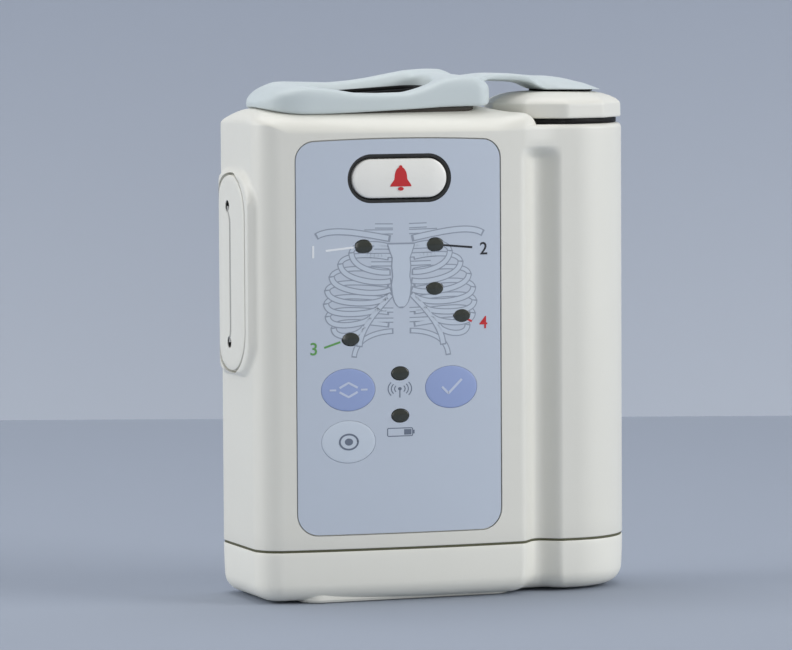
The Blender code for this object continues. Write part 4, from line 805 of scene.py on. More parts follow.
    def build_score_shade(self, grey: Material) -> None:
        """A grey strip laid in the side cover's score: painted shade for the groove."""
        half = self.cover_score_width / 2 - self.shade_strip_side
        deep, near = self.shade_strip_depths
        rings = self._score(((-1, deep), (-1, near), (1, near), (1, deep)), half)
        line = MeshMaker("cover_score_shade_strip").rings(rings).piece(SMALL_CRISP_DEG)
        dress(line, "case", "case_plastic", grey)

    def _score(self, corners: Stations, half: float) -> Array:
        """A four-sided bar along the score.

        Formula: it runs straight up between the two screws, with a short jog to each of them.

        Args:
            corners: For each corner of the bar, its side as a share of half the width, and its depth.
            half: Half the bar's width.

        Returns:
            Points of shape (60, 4, 3).
        """
        (low_y, low_z), (high_y, high_z) = self.cover_screws
        z = np.linspace(low_z, high_z, 60)
        share = (z - z[0]) / (z[-1] - z[0])
        below = 1 - smooth_step(share / self.score_jogs[0])
        above = 1 - smooth_step((1 - share) / self.score_jogs[1])
        line_y = self.score_line_y
        y = line_y + (low_y - line_y) * below + (high_y - line_y) * above
        face = self.form.boss_face
        bars = [at_side(np.column_stack([y + side * half, z]), face + depth) for side, depth in corners]
        return np.stack(bars, axis=1)

    def build_cover_screws(self, black: Material) -> None:
        """The two dark screw heads that fill the side cover's holes.

        Formula: rings of a slightly dished head, with a six-sided socket in its middle.
        """
        turn = full_turn(48)
        hexagon = cos(pi / 6) / np.cos(turn % (pi / 3) - pi / 6)
        for number, (across, place) in enumerate(self.cover_screws, 1):
            rows = []
            for radius, depth, cornered in self.screw_rows:
                size = self.cover_screw_radius * radius * (hexagon if cornered else 1.0)
                ring = columns(across + size * np.cos(turn), place + size * np.sin(turn))
                rows.append(at_side(ring, self.form.boss_face + depth))
            maker = MeshMaker(f"cover_screw_head_{number}").rings(rows)
            head = maker.piece(SMALL_CRISP_DEG)
            dress(head, "case", "moulded_black", black, f"cover_screw_{number}")


@dataclass
class Socket:
    """The dark socket in the strap's opening, whose collar stands up with a sloping top."""

    x: float = -0.0144
    base: float = 0.1046
    step: float = 0.117
    block_size: Pair = (0.024, 0.0092)
    collar_size: Pair = (0.0278, 0.0104)
    mouth_size: Pair = (0.0214, 0.0064)
    floor: float = 0.1108
    floor_inset: float = 0.001
    step_rise: float = 0.0001
    rim: float = 0.0003
    top: float = 0.1217
    slopes: Pair = (0.055, 0.06)

    def build(self, black: Material) -> None:
        """The socket as one cup of rings, from its base over the rim down to the mouth's floor.

        Formula: rings without a height of their own lie on the sloping top, a rim lower at its edges.
        """
        block, collar, mouth = self.block_size, self.collar_size, self.mouth_size
        rows = []
        for size, z, inset in (
            (block, self.base, 0), (block, self.step, 0), (collar, self.step + self.step_rise, 0),
            (collar, None, 0), (collar, None, self.rim), (mouth, None, -self.rim),
            (mouth, None, 0), (mouth, self.floor, 0), (mouth, self.floor, self.floor_inset),
        ):
            outline, _ = pill((self.x, 0.0), size[0] - 2 * inset, size[1] - 2 * inset)
            slope = (outline[:, 0] - self.x) * self.slopes[0] + outline[:, 1] * self.slopes[1]
            drop = self.rim if inset == 0 else 0.0
            rows.append(at_height(outline, self.top + slope - drop if z is None else z))
        cup = MeshMaker("socket_cup").rings(rows).piece(SMALL_CRISP_DEG)
        dress(cup, "case", "moulded_black", black, "lead_socket")


@dataclass
class Panel:
    """The printed overlay with its windows, keys, call button and prints."""

    form: CaseForm = CaseForm()
    left: float = -0.039
    right: float = 0.01145
    low: float = 0.0166
    high: float = 0.1105
    top_corner: float = 0.0045
    bottom_corner: float = 0.005
    arch: float = 0.0005
    sunk: float = 0.0001
    thickness: float = 0.0005
    recess_room: float = 0.0003
    recess_from: float = -0.006
    arch_reach: float = 0.012
    columns: int = 49
    side_rows: int = 24
    corner_rows: int = 14
    film_bars: Triple = (0.00016, -0.03, -0.01)
    film_rim: float = 0.001
    case_rim: float = 0.0022
    window_size: Pair = (0.0042, 0.0031)
    window_relief: Quad = (-0.00006, 0.00014, 0.00012, 0.005)
    key_size: Pair = (0.0131, 0.0101)
    key_relief: Quad = (0.00006, 0.00016, 0.00015, 0.0018)
    window_shares: Stations = (
        (-0.359, 0.729), (0.344, 0.7304), (0.338, 0.6187), (0.608, 0.5477),
        (-0.487, 0.4955), (-0.01, 0.4054), (-0.01, 0.298),
    )
    key_shares: tuple[tuple[str, float, float], ...] = (
        ("select_key", -0.514, 0.367), ("check_key", 0.498, 0.367), ("record_key", -0.514, 0.235),
    )
    button_size: Pair = (0.0233, 0.0093)
    button_height_share: float = 0.9
    button_relief: Quad = (-0.0001, 0.0004, 0.0005, 0.0034)
    bezel_grows: Pair = (0.0006, 0.0044)
    bezel_rows: Stations = (
        (0, 0.0022), (0, 0.0006), (0.12, 0.00035), (0.35, 0.00028), (0.5, 0.0004), (0.62, 0.0009),
        (1, 0.0009), (1, 0.0022),
    )
    key_gap_share: float = 0.3
    ink: float = 0.00004

    @property
    def centre_x(self) -> float:
        """The overlay's middle."""
        return (self.left + self.right) / 2

    @property
    def button_centre(self) -> Pair:
        """The call button's middle."""
        return self.at(0, self.button_height_share)

    def at(self, x_share: float, z_share: float) -> Pair:
        """A place from its shares of the half width and the height."""
        x = self.centre_x + x_share * (self.right - self.left) / 2
        return x, self.low + z_share * (self.high - self.low)

    def on_front(self, x: Array, z: Array, depth: float | Array) -> Array:
        """Points on the crowned front at a depth below its face."""
        return columns(x, self.form.front(x) + depth, z)

    def grid(self, grow: float, depth: float) -> Array:
        """The overlay's outline filled with a grid that follows the crown.

        Formula: at each height the half width is drawn in by the corner's circle; the top row is
        lifted by an arch that falls with the square of the distance from the middle.

        Args:
            grow: How far the outline is widened.
            depth: Depth below the front face.

        Returns:
            Points of shape (rows, columns, 3).
        """
        half = (self.right - self.left) / 2 + grow
        low, high = self.low - grow, self.high + grow - self.arch
        below, above = self.bottom_corner + grow, self.top_corner + grow
        turn = np.linspace(0, pi / 2, self.corner_rows)
        side = np.linspace(low + below, high - above, self.side_rows)[1:-1]
        z = np.concatenate([low + below * (1 - np.cos(turn)), side, high - above * (1 - np.sin(turn))])
        inset = np.concatenate([below * (1 - np.sin(turn)), 0 * side, above * (1 - np.cos(turn))])
        u = np.linspace(-1, 1, self.columns)
        x = self.centre_x + u[None, :] * (half - inset)[:, None]
        near_top = smooth_step((z - (high - self.arch_reach)) / self.arch_reach)
        rise = self.arch * (1 - u**2)[None, :] * near_top[:, None]
        return self.on_front(x, z[:, None] + rise, depth)

    def recess(self) -> Object:
        """The shape of the overlay's recess in the case."""
        room = self.recess_room
        front = self.grid(room, self.recess_from)
        back = self.grid(room, self.sunk + self.thickness + room)
        return MeshMaker("recess").slab(front, back).piece()

    def holes(self, name: str, rim: float, grow: float, near: float, far: float) -> Object:
        """Bars through the front for the button, the keys and the windows.

        Args:
            name: The new object's name.
            rim: Room left for the ring round the button.
            grow: Clearance round each of them.
            near: Where the bars start along Y.
            far: Where they end.

        Returns:
            The bars as one object.
        """
        maker = MeshMaker(name)
        grown = [size + 2 * (rim + grow) for size in self.button_size]
        shapes = [pill(self.button_centre, *grown)[0]]
        for _, x_share, z_share in self.key_shares:
            grown = [size + 2 * (grow * self.key_gap_share) for size in self.key_size]
            shapes.append(ellipse(self.at(x_share, z_share), *grown))
        for share in self.window_shares:
            grown = [size + 2 * grow for size in self.window_size]
            shapes.append(ellipse(self.at(*share), *grown, 48))
        for shape in shapes:
            bar = [np.column_stack([shape[:, 0], np.full(len(shape), y), shape[:, 1]]) for y in (near, far)]
            maker.rings(bar)
        return maker.piece()

    def build_overlay(self, film: Material) -> None:
        """The film with its holes."""
        front, back = self.grid(0, self.sunk), self.grid(0, self.sunk + self.thickness)
        sheet = MeshMaker("overlay_film").slab(front, back).piece()
        carve(sheet, self.holes("overlay_holes", self.film_rim, *self.film_bars), CUTTER_CRISP_DEG)
        dress(sheet, "case", "overlay_film", film, "overlay")

    def domed(
        self, name: str, outline: Array, spine: Array,
        face: float, dome: float, rim: float, back: float,
    ) -> Object:
        """A low domed button that follows the crown.

        Formula: the outline is drawn in towards its spine by a share r; the depth is face minus dome
        times one minus r squared, with a quarter round of size rim at the edge.

        Args:
            name: The piece's name.
            outline: Outer points, two columns.
            spine: The points that they are drawn in towards.
            face: Depth of the edge of the face.
            dome: How much the middle stands above the edge.
            rim: Radius of the edge's round.
            back: Depth of the back.

        Returns:
            The piece.
        """
        reach = np.linalg.norm(outline - spine, axis=1).mean()
        rows = [(1.0, back), (1.0, face + rim)]
        for angle in np.radians((30, 60, 90)):
            rows.append((1 - rim / reach * (1 - cos(angle)), face + rim * (1 - sin(angle))))
        edge = 1 - rim / reach
        rows += [(edge * s, face - dome * (1 - s**2)) for s in (0.9, 0.75, 0.55, 0.3, 0.02)]
        grid = []
        for share, depth in rows:
            grid.append(self.on_front(*(spine + (outline - spine) * share).T, depth))
        return MeshMaker(name).rings(grid).piece(SMALL_CRISP_DEG)

    def build_windows(self, smoked: Material) -> None:
        """Seven smoked windows with a slight dome."""
        for i, share in enumerate(self.window_shares, 1):
            centre = self.at(*share)
            shape = ellipse(centre, *self.window_size, 48)
            spine = np.broadcast_to(centre, shape.shape)
            window = self.domed(f"lamp_window_{i}", shape, spine, *self.window_relief)
            dress(window, "case", "window_smoked", smoked, f"lead_lamp_window_{i}")

    def build_keys(self, blue: Material, pale: Material) -> None:
        """Three oval keys, each slightly raised."""
        for name, x_share, z_share in self.key_shares:
            centre = self.at(x_share, z_share)
            shape = ellipse(centre, *self.key_size)
            spine = np.broadcast_to(centre, shape.shape)
            key = self.domed(f"{name}_face", shape, spine, *self.key_relief)
            finish, slot = (pale, "key_pale") if name == "record_key" else (blue, "key_blue")
            dress(key, name, slot, finish, name)

    def build_button(self, white: Material, black: Material) -> None:
        """The call button and the dark ring round it."""
        width, height = self.button_size
        outline, spine = pill(self.button_centre, width, height)
        button = self.domed("call_button_face", outline, spine, *self.button_relief)
        dress(button, "call_button", "button_plastic", white, "call_button")
        inner, outer = (pill(self.button_centre, width + g, height + g)[0] for g in self.bezel_grows)
        grid = []
        for share, depth in self.bezel_rows:
            grid.append(self.on_front(*(inner + (outer - inner) * share).T, depth))
        ring = np.array(grid).transpose(1, 0, 2)
        bezel = MeshMaker("call_button_ring").loop_of_rings(ring).piece(SMALL_CRISP_DEG)
        dress(bezel, "case", "moulded_black", black, "call_button_bezel")

    def ribbon(self, maker: MeshMaker, line: Array, width: float | Array, depth: float) -> None:
        """Adds a printed line to a mesh.

        Formula: each point is moved both ways along the line's normal by half the width.

        Args:
            maker: The mesh that it joins.
            line: Points on the panel, two columns.
            width: The line's width, one value or one for each point.
            depth: Depth of the print's face below the front face.
        """
        along = np.gradient(line, axis=0)
        along /= np.linalg.norm(along, axis=1, keepdims=True) + 1e-12
        normal = columns(-along[:, 1], along[:, 0])
        half = (np.broadcast_to(width, len(line)) / 2)[:, None]
        sides = [line - normal * half, line + normal * half]
        grid = np.stack([self.on_front(s[:, 0], s[:, 1], depth) for s in sides], axis=1)
        maker.slab(grid, grid + (0, self.ink, 0))

    def spot(self, maker: MeshMaker, outline: Array, depth: float) -> None:
        """Adds a filled, convex print: its outline joined to a small copy at its middle."""
        middle = outline.mean(0)
        shares = (1.0, 0.66, 0.33, 0.02)
        rows = [self.on_front(*(middle + (outline - middle) * s).T, depth) for s in shares]
        maker.rings([rows[0] + (0, self.ink, 0), *rows])


@dataclass
class Prints:
    """What is printed on the overlay and its keys: plain numbers, pictograms and a figure of ribs.

    The figure's stations are in millimetres from its middle and its foot.
    """

    panel: Panel
    face: float = 0.00007
    key_face: float = -0.00013
    middle_x: float = -0.0136
    foot_z: float = 0.0582
    layer: float = 0.000006
    stroke: float = 0.00026
    flanks: Stations = (
        (12.2, 25.2), (14.9, 22.6), (17.0, 19.6), (18.1, 16.4), (18.4, 13.2), (18.0, 10.2), (16.6, 7.4),
    )
    front_ends: tuple[tuple[Pair, float], ...] = (
        ((2.6, 20.6), 20.4), ((2.4, 18.6), 17.6), ((2.4, 16.6), 14.8), ((3.2, 15.0), 12.4),
        ((5.6, 12.4), 10.8), ((7.6, 10.2), 8.6), ((9.2, 8.0), 6.4),
    )
    stubs: Stations = (
        (6.4, 31.6), (9.0, 30.2), (6.6, 26.6), (8.4, 24.6), (7.4, 22.6), (6.0, 11.6), (7.8, 9.2),
    )
    breastbone: Stations = (
        (12.0, 0.25), (12.6, 1.1), (13.6, 1.75), (15.2, 2.2), (17.6, 2.45), (19.6, 2.1), (22.0, 2.35),
        (24.0, 2.2), (25.6, 2.8), (27.2, 3.3), (27.6, 3.1),
    )
    low_band: Stations = ((2.0, 6.6), (5.5, 6.6), (9.6, 5.6), (11.4, 3.6), (11.7, 0.5))
    margin: Stations = ((2.3, 15.6), (5.2, 12.6), (8.6, 9.2), (10.2, 6.0), (10.4, 3.0))
    collar_bone: Stations = ((2.6, 28.6), (7.6, 29.6), (12.0, 30.4), (17.6, 31.4), (20.7, 29.4))
    leads: tuple[tuple[str, str, Pair, Pair, Pair], ...] = (
        ("1", "white", (-0.032, 0.0842), (-0.0252, 0.0849), (-0.035, 0.0838)),
        ("2", "black", (-0.0032, 0.085), (0.0043, 0.0843), (0.0072, 0.0838)),
        ("3", "green", (-0.0325, 0.0612), (-0.0286, 0.0625), (-0.035, 0.0608)),
        ("4", "red", (0.0028, 0.0672), (0.0041, 0.0666), (0.0071, 0.0661)),
    )
    lead_width: float = 0.00048
    lead_rise: float = 0.000012
    number_size: float = 0.0031
    number_scale: float = 1.35
    number_weight: float = 0.012
    number_rise: float = 0.00001
    number_half: float = 0.00002
    signs_x: float = -0.0141
    sign_stroke: float = 0.00022
    aerial_z: float = 0.051
    waves: Triple = (0.0013, 0.0021, 0.0029)
    wave_deg: float = 42.0
    wave_squash: float = 0.8
    mast_low: float = 0.0489
    mast_width: float = 0.00026
    knob_size: Pair = (0.0009, 0.0008)
    battery_z: float = 0.04065
    battery_size: Triple = (0.0062, 0.0019, 0.0003)
    battery_level: Triple = (-0.0131, -0.0113, 0.0013)
    battery_tip: Triple = (-0.0109, -0.0105, 0.0009)
    chevron: Triple = (0.0022, 0.0017, 0.0012)
    chevron_bar: Pair = (0.003, 0.0046)
    chevron_widths: Pair = (0.0005, 0.00045)
    bar_sunk: float = 0.00001
    tick: Stations = ((-0.0024, 0.0001), (-0.0008, -0.0015), (0.0026, 0.0018))
    tick_width: float = 0.00055
    record_ring: Triple = (0.0044, 0.0036, 0.00042)
    record_dot: Pair = (0.002, 0.0017)
    bell_height: float = 0.0046
    bell_lip: float = 0.0026
    bell_flare: float = 0.00105
    bell_body: float = 0.00155
    bell_waist: float = 0.45
    bell_crown: float = 0.56
    bell_tip: float = 0.02
    bell_below: float = 0.42
    bell_face: float = -0.00053
    bell_follow: float = 0.35
    bell_thickness: float = 0.00012
    bell_spot_face: float = -0.00049
    bell_spots: tuple[tuple[float, float, float, float, int], ...] = (
        (-0.42, -0.00055, 0.0014, 0.0009, 24), (0.58, 0.0001, 0.0008, 0.0007, 20),
    )

    def curve(self, side: int, *stations: Pair, count: int = 36) -> Array:
        """A smooth line on the panel, given by millimetres from the figure's middle and its foot.

        Formula: each station is weighted by its share of the binomial expansion, as in a Bezier curve.

        Args:
            side: 1 or -1, for the right or the left half of the figure.
            stations: The control points.
            count: How many points the line gets.

        Returns:
            Points of shape (count, 2).
        """
        t, last = np.linspace(0, 1, count)[:, None], len(stations) - 1
        points = np.array(stations) * 0.001
        line = sum(comb(last, i) * t**i * (1 - t) ** (last - i) * points[i] for i in range(last + 1))
        return columns(self.middle_x + side * line[:, 0], self.foot_z + line[:, 1])

    def build_ribs(self, line: Material, fill: Material) -> None:
        """The figure of ribs: pale bands over slightly wider grey ones, the back ones drawn first.

        Formula: each back rib rises from its flank and runs in to the spine; each front rib sinks
        from the same flank and rises to its own end.
        """
        lines, fills = MeshMaker("rib_lines"), MeshMaker("rib_bands")
        for side in (-1, 1):
            for number, (reach, rise) in enumerate(self.flanks):
                self.band(lines, fills, 2, 0.00105, self.curve(
                    side, (reach, rise), (reach, rise + 2.0), (reach * 0.74, rise + 2.7 - 0.1 * number),
                    (reach * 0.42, rise + 2.4 - 0.2 * number), (3.0, rise + 1.6 - 0.15 * number),
                ))
            for tip, rise in self.stubs:
                stub = self.curve(side, (2.0, rise), (tip, rise + 0.1), count=8)
                self.band(lines, fills, 2, 0.001, stub)
            self.band(lines, fills, 1, 0.0011, self.curve(side, *self.low_band))
            for number, (reach, rise) in enumerate(self.flanks):
                end, dip = self.front_ends[number]
                self.band(lines, fills, 0, 0.00125, self.curve(
                    side, (reach, rise + 0.4), (reach, rise - 2.4),
                    (reach * 0.78, rise - 4.0 + 0.3 * number), (max(end[0], 5.6), dip), end,
                ))
            self.band(lines, fills, 0, 0.0013, self.curve(side, *self.margin))
            self.band(lines, fills, -1, 0.0014, self.curve(side, *self.collar_bone))
        rise, half = (np.array(values) * 0.001 for values in zip(*self.breastbone))
        z = np.linspace(rise[0], rise[-1], 40)
        bone = columns(np.full(40, self.middle_x), self.foot_z + z)
        self.band(lines, fills, -2, 2 * np.interp(z, rise, half), bone)
        dress(lines.piece(), "case", "overlay_film", line)
        dress(fills.piece(), "case", "overlay_film", fill)

    def band(
        self, lines: MeshMaker, fills: MeshMaker, level: int, width: float | Array, line: Array,
    ) -> None:
        """One bone: a wide grey band with a narrower pale band on it.

        Args:
            lines: The mesh of the grey bands.
            fills: The mesh of the pale bands.
            level: How deep the bone lies in the drawing.
            width: Its width, one value or one for each point.
            line: Its middle line, which the pale band leaves a point short at both ends.
        """
        depth = self.face + level * 2 * self.layer
        self.panel.ribbon(lines, line, width + self.stroke, depth)
        if len(line) > 8:
            line = line[1:-1]
            width = width[1:-1] if isinstance(width, Array) else width
        self.panel.ribbon(fills, line, width - self.stroke, depth - self.layer)

    def build_leads(self, colours: dict[str, Material]) -> None:
        """A short line and a plain number for each of four lead places."""
        for label, colour, start, end, place in self.leads:
            maker = MeshMaker(f"lead_line_{label}")
            t = np.linspace(0, 1, 8)[:, None]
            line = np.array(start) * (1 - t) + np.array(end) * t
            self.panel.ribbon(maker, line, self.lead_width, self.face - self.lead_rise)
            dress(maker.piece(), "case", "overlay_film", colours[colour])
            self.number(label, place, colours[colour])

    def number(self, label: str, place: Pair, ink: Material) -> None:
        """A printed number: text made into a mesh and laid on the crown."""
        text = bpy.data.curves.new(f"number_{label}", "FONT")
        text.body = label
        text.align_x, text.align_y = "CENTER", "CENTER"
        text.size = self.number_size * self.number_scale
        text.offset = self.number_size * self.number_weight
        text.extrude = self.number_half
        sketch = placed(text.name, text)
        graph = bpy.context.evaluated_depsgraph_get()
        mesh = bpy.data.meshes.new_from_object(sketch.evaluated_get(graph))
        bpy.data.objects.remove(sketch, do_unlink=True)
        flat = np.empty(len(mesh.vertices) * 3, np.float32)
        mesh.vertices.foreach_get("co", flat)
        flat = flat.reshape(-1, 3).astype(float)
        x, z = flat[:, 0] + place[0], flat[:, 1] + place[1]
        points = self.panel.on_front(x, z, self.face - self.number_rise - flat[:, 2])
        mesh.vertices.foreach_set("co", points.astype(np.float32).ravel())
        piece = placed(f"number_{label}", tidied(mesh, CUTTER_CRISP_DEG))
        dress(piece, "case", "overlay_film", ink)

    @staticmethod
    def level_line(start: float, end: float, z: float, count: int = 6) -> Array:
        """A line at one height, from one place along X to another."""
        return columns(np.linspace(start, end, count), np.full(count, z))

    def build_signs(self, ink: Material) -> None:
        """The aerial sign with its waves, and the battery sign, both on the overlay."""
        panel, face = self.panel, self.face
        maker = MeshMaker("aerial_sign")
        x0, z0 = self.signs_x, self.aerial_z
        turn = np.radians(np.linspace(-self.wave_deg, self.wave_deg, 16))
        for side in (-1, 1):
            for radius in self.waves:
                across, up = radius * np.cos(turn), radius * self.wave_squash * np.sin(turn)
                wave = columns(x0 + side * across, z0 + up)
                panel.ribbon(maker, wave, self.sign_stroke, face)
        mast = columns(np.full(6, x0), np.linspace(self.mast_low, z0, 6))
        panel.ribbon(maker, mast, self.mast_width, face)
        panel.spot(maker, ellipse((x0, z0), *self.knob_size, 20), face)
        dress(maker.piece(), "case", "overlay_film", ink)

        maker = MeshMaker("battery_sign")
        z0 = self.battery_z
        frame_line = rounded_box((x0, z0), *self.battery_size, 5)
        panel.ribbon(maker, np.concatenate([frame_line, frame_line[:2]]), self.sign_stroke, face)
        for (start, end, width), count in ((self.battery_level, 6), (self.battery_tip, 3)):
            panel.ribbon(maker, self.level_line(start, end, z0, count), width, face)
        dress(maker.piece(), "case", "overlay_film", ink)

    def build_key_signs(self, ink: Material, pale: Material) -> None:
        """A pictogram on each key: two chevrons, a tick, and a dot in a ring."""
        panel, face = self.panel, self.key_face
        places = {name: panel.at(x, z) for name, x, z in panel.key_shares}
        x, z = places["select_key"]
        maker = MeshMaker("select_sign")
        half, peak, fall = self.chevron
        t = np.linspace(-1, 1, 9)
        for side in (-1, 1):
            line = columns(x + half * t, z + side * (peak - fall * np.abs(t)))
            panel.ribbon(maker, line, self.chevron_widths[0], face)
        for side in (-1, 1):
            start, end = (x + side * away for away in self.chevron_bar)
            bar = self.level_line(start, end, z)
            panel.ribbon(maker, bar, self.chevron_widths[1], face + self.bar_sunk)
        dress(maker.piece(), "select_key", "key_blue", pale)

        x, z = places["check_key"]
        maker = MeshMaker("check_sign")
        tick_x, tick_z = np.array(self.tick).T
        t, corners = np.linspace(0, 2, 21), (0, 1, 2)
        line = columns(np.interp(t, corners, tick_x) + x, np.interp(t, corners, tick_z) + z)
        panel.ribbon(maker, line, self.tick_width, face)
        dress(maker.piece(), "check_key", "key_blue", pale)

        x, z = places["record_key"]
        maker = MeshMaker("record_sign")
        width, height, stroke = self.record_ring
        ring = ellipse((x, z), width, height, 40)
        panel.ribbon(maker, np.concatenate([ring, ring[:2]]), stroke, face)
        panel.spot(maker, ellipse((x, z), *self.record_dot, 24), face)
        dress(maker.piece(), "record_key", "key_pale", ink)

    def build_bell(self, red: Material) -> None:
        """The bell on the call button.

        Formula: from its lip up, the half width eases in to the waist and then follows the quarter of
        an ellipse; the face follows the button's dome.
        """
        x0, z0 = self.panel.button_centre
        height, waist = self.bell_height, self.bell_waist
        v = np.linspace(0, 1, 30)
        flare = self.bell_lip - self.bell_flare * smooth_step(v / waist)
        crown = self.bell_body * np.sqrt(np.clip(1 - ((v - waist) / self.bell_crown) ** 2, self.bell_tip, 1))
        half = np.where(v < waist, flare, crown)
        x = x0 + np.linspace(-1, 1, 11)[None, :] * half[:, None]
        z = np.broadcast_to((z0 - height * self.bell_below + v * height)[:, None], x.shape)
        width, tall = self.panel.button_size
        away = np.hypot((x - x0) / (width / 2), (z - z0) / (tall / 2))
        depth = self.bell_face + self.panel.button_relief[1] * away**2 * self.bell_follow
        grid = self.panel.on_front(x, z, depth)
        maker = MeshMaker("call_bell").slab(grid, grid + (0, self.bell_thickness, 0))
        for share, rise, wide, high, count in self.bell_spots:
            spot = ellipse((x0, z0 + height * share + rise), wide, high, count)
            self.panel.spot(maker, spot, self.bell_spot_face)
        dress(maker.piece(), "call_button", "button_plastic", red)


@dataclass
class BatteryCap:
    """The ten-sided cap with its plug, and the dark gasket under it."""

    x: float = 0.0328
    radius: float = 0.0168
    sides: int = 10
    turned_deg: float = 8.3
    low: float = 0.1145
    edge: float = 0.1176
    top: float = 0.1208
    crown: Stations = (
        (0.0, 0.0), (0.0001, 0.12), (0.0004, 0.24), (0.0011, 0.42), (0.0024, 0.62), (0.004, 0.78),
        (0.0058, 0.9), (0.008, 0.97), (0.0105, 1.0),
    )
    corner_cut: float = 0.994
    corner_round: float = 0.01
    draft: float = 0.004
    foot_scale: float = 0.975
    foot_round: float = 0.0004
    side_short: float = 0.0006
    crown_roundness: float = 0.95
    middle_scale: float = 0.3
    middle_rise: float = 0.00002
    plug_radius: float = 0.0145
    plug_low: float = 0.1083
    plug_rows: Stations = ((0.95, 0.0), (0.995, 0.0004), (1.0, 0.001))
    gasket_radius: float = 0.015
    gasket_z: float = 0.1138
    gasket_half: Pair = (0.0005, 0.00068)
    crisp_deg: float = 16.0
    gasket_crisp_deg: float = 50.0

    def outline(self, scale: float, roundness: float) -> Array:
        """A regular polygon with softened corners.

        Formula: the apothem divided by the cosine of the angle from the nearest side's middle, eased
        into a circle by a share of roundness.

        Args:
            scale: Its size as a share of the cap's.
            roundness: 0 for the polygon, 1 for the circle.

        Returns:
            Points of shape (360, 2).
        """
        turn = full_turn(360)
        step = 2 * pi / self.sides
        off = (turn - radians(self.turned_deg)) % step - step / 2
        apothem = self.radius * cos(step / 2)
        cut = np.full(360, self.radius * self.corner_cut)
        sharp = smooth_min(apothem / np.cos(off), cut, self.radius * self.corner_round)
        size = scale * (sharp * (1 - roundness) + (apothem + self.radius) / 2 * roundness)
        return columns(self.x + size * np.cos(turn), size * np.sin(turn))

    def build(self, plastic: Material, rubber: Material) -> None:
        """The cap from its plug's end to the middle of its top, and the gasket."""
        plug = self.plug_radius / self.radius
        foot, foot_round, side = self.foot_scale, self.foot_round, self.edge - self.low
        stations = [(plug * share, 1.0, self.plug_low + rise) for share, rise in self.plug_rows]
        stations += [(plug, 1.0, self.low), (foot, 0.02, self.low)]
        for angle in np.radians((20, 45, 70, 90)):
            scale = foot + (1 - foot) * sin(angle)
            stations.append((scale, 0.0, self.low + foot_round * (1 - cos(angle))))
        for share in np.linspace(0, 1, 5)[1:]:
            z = self.low + foot_round + (side - self.side_short) * share
            stations.append((1 - self.draft * share, 0.0, z))
        for inset, share in self.crown:
            scale = 1 - self.draft - inset / self.radius
            z = self.edge + (self.top - self.edge) * share
            stations.append((scale, self.crown_roundness * share**2, z))
        stations.append((self.middle_scale, 1.0, self.top + self.middle_rise))
        rows = [at_height(self.outline(scale, roundness), z) for scale, roundness, z in stations]
        cap = MeshMaker("cap_body").rings(rows).piece(self.crisp_deg)
        dress(cap, "cap", "case_plastic", plastic, "battery_cap")

        turn = full_turn(160)[:, None]
        section = full_turn(14)
        size = self.gasket_radius + self.gasket_half[0] * signed_power(np.cos(section), 0.5)
        z = self.gasket_z + self.gasket_half[1] * signed_power(np.sin(section), 0.5)
        z = np.broadcast_to(z, (160, 14))
        ring = columns(self.x + np.cos(turn) * size, np.sin(turn) * size, z)
        gasket = MeshMaker("cap_seal_ring").loop_of_rings(ring).piece(self.gasket_crisp_deg)
        dress(gasket, "cap", "seal_black", rubber, "cap_gasket")


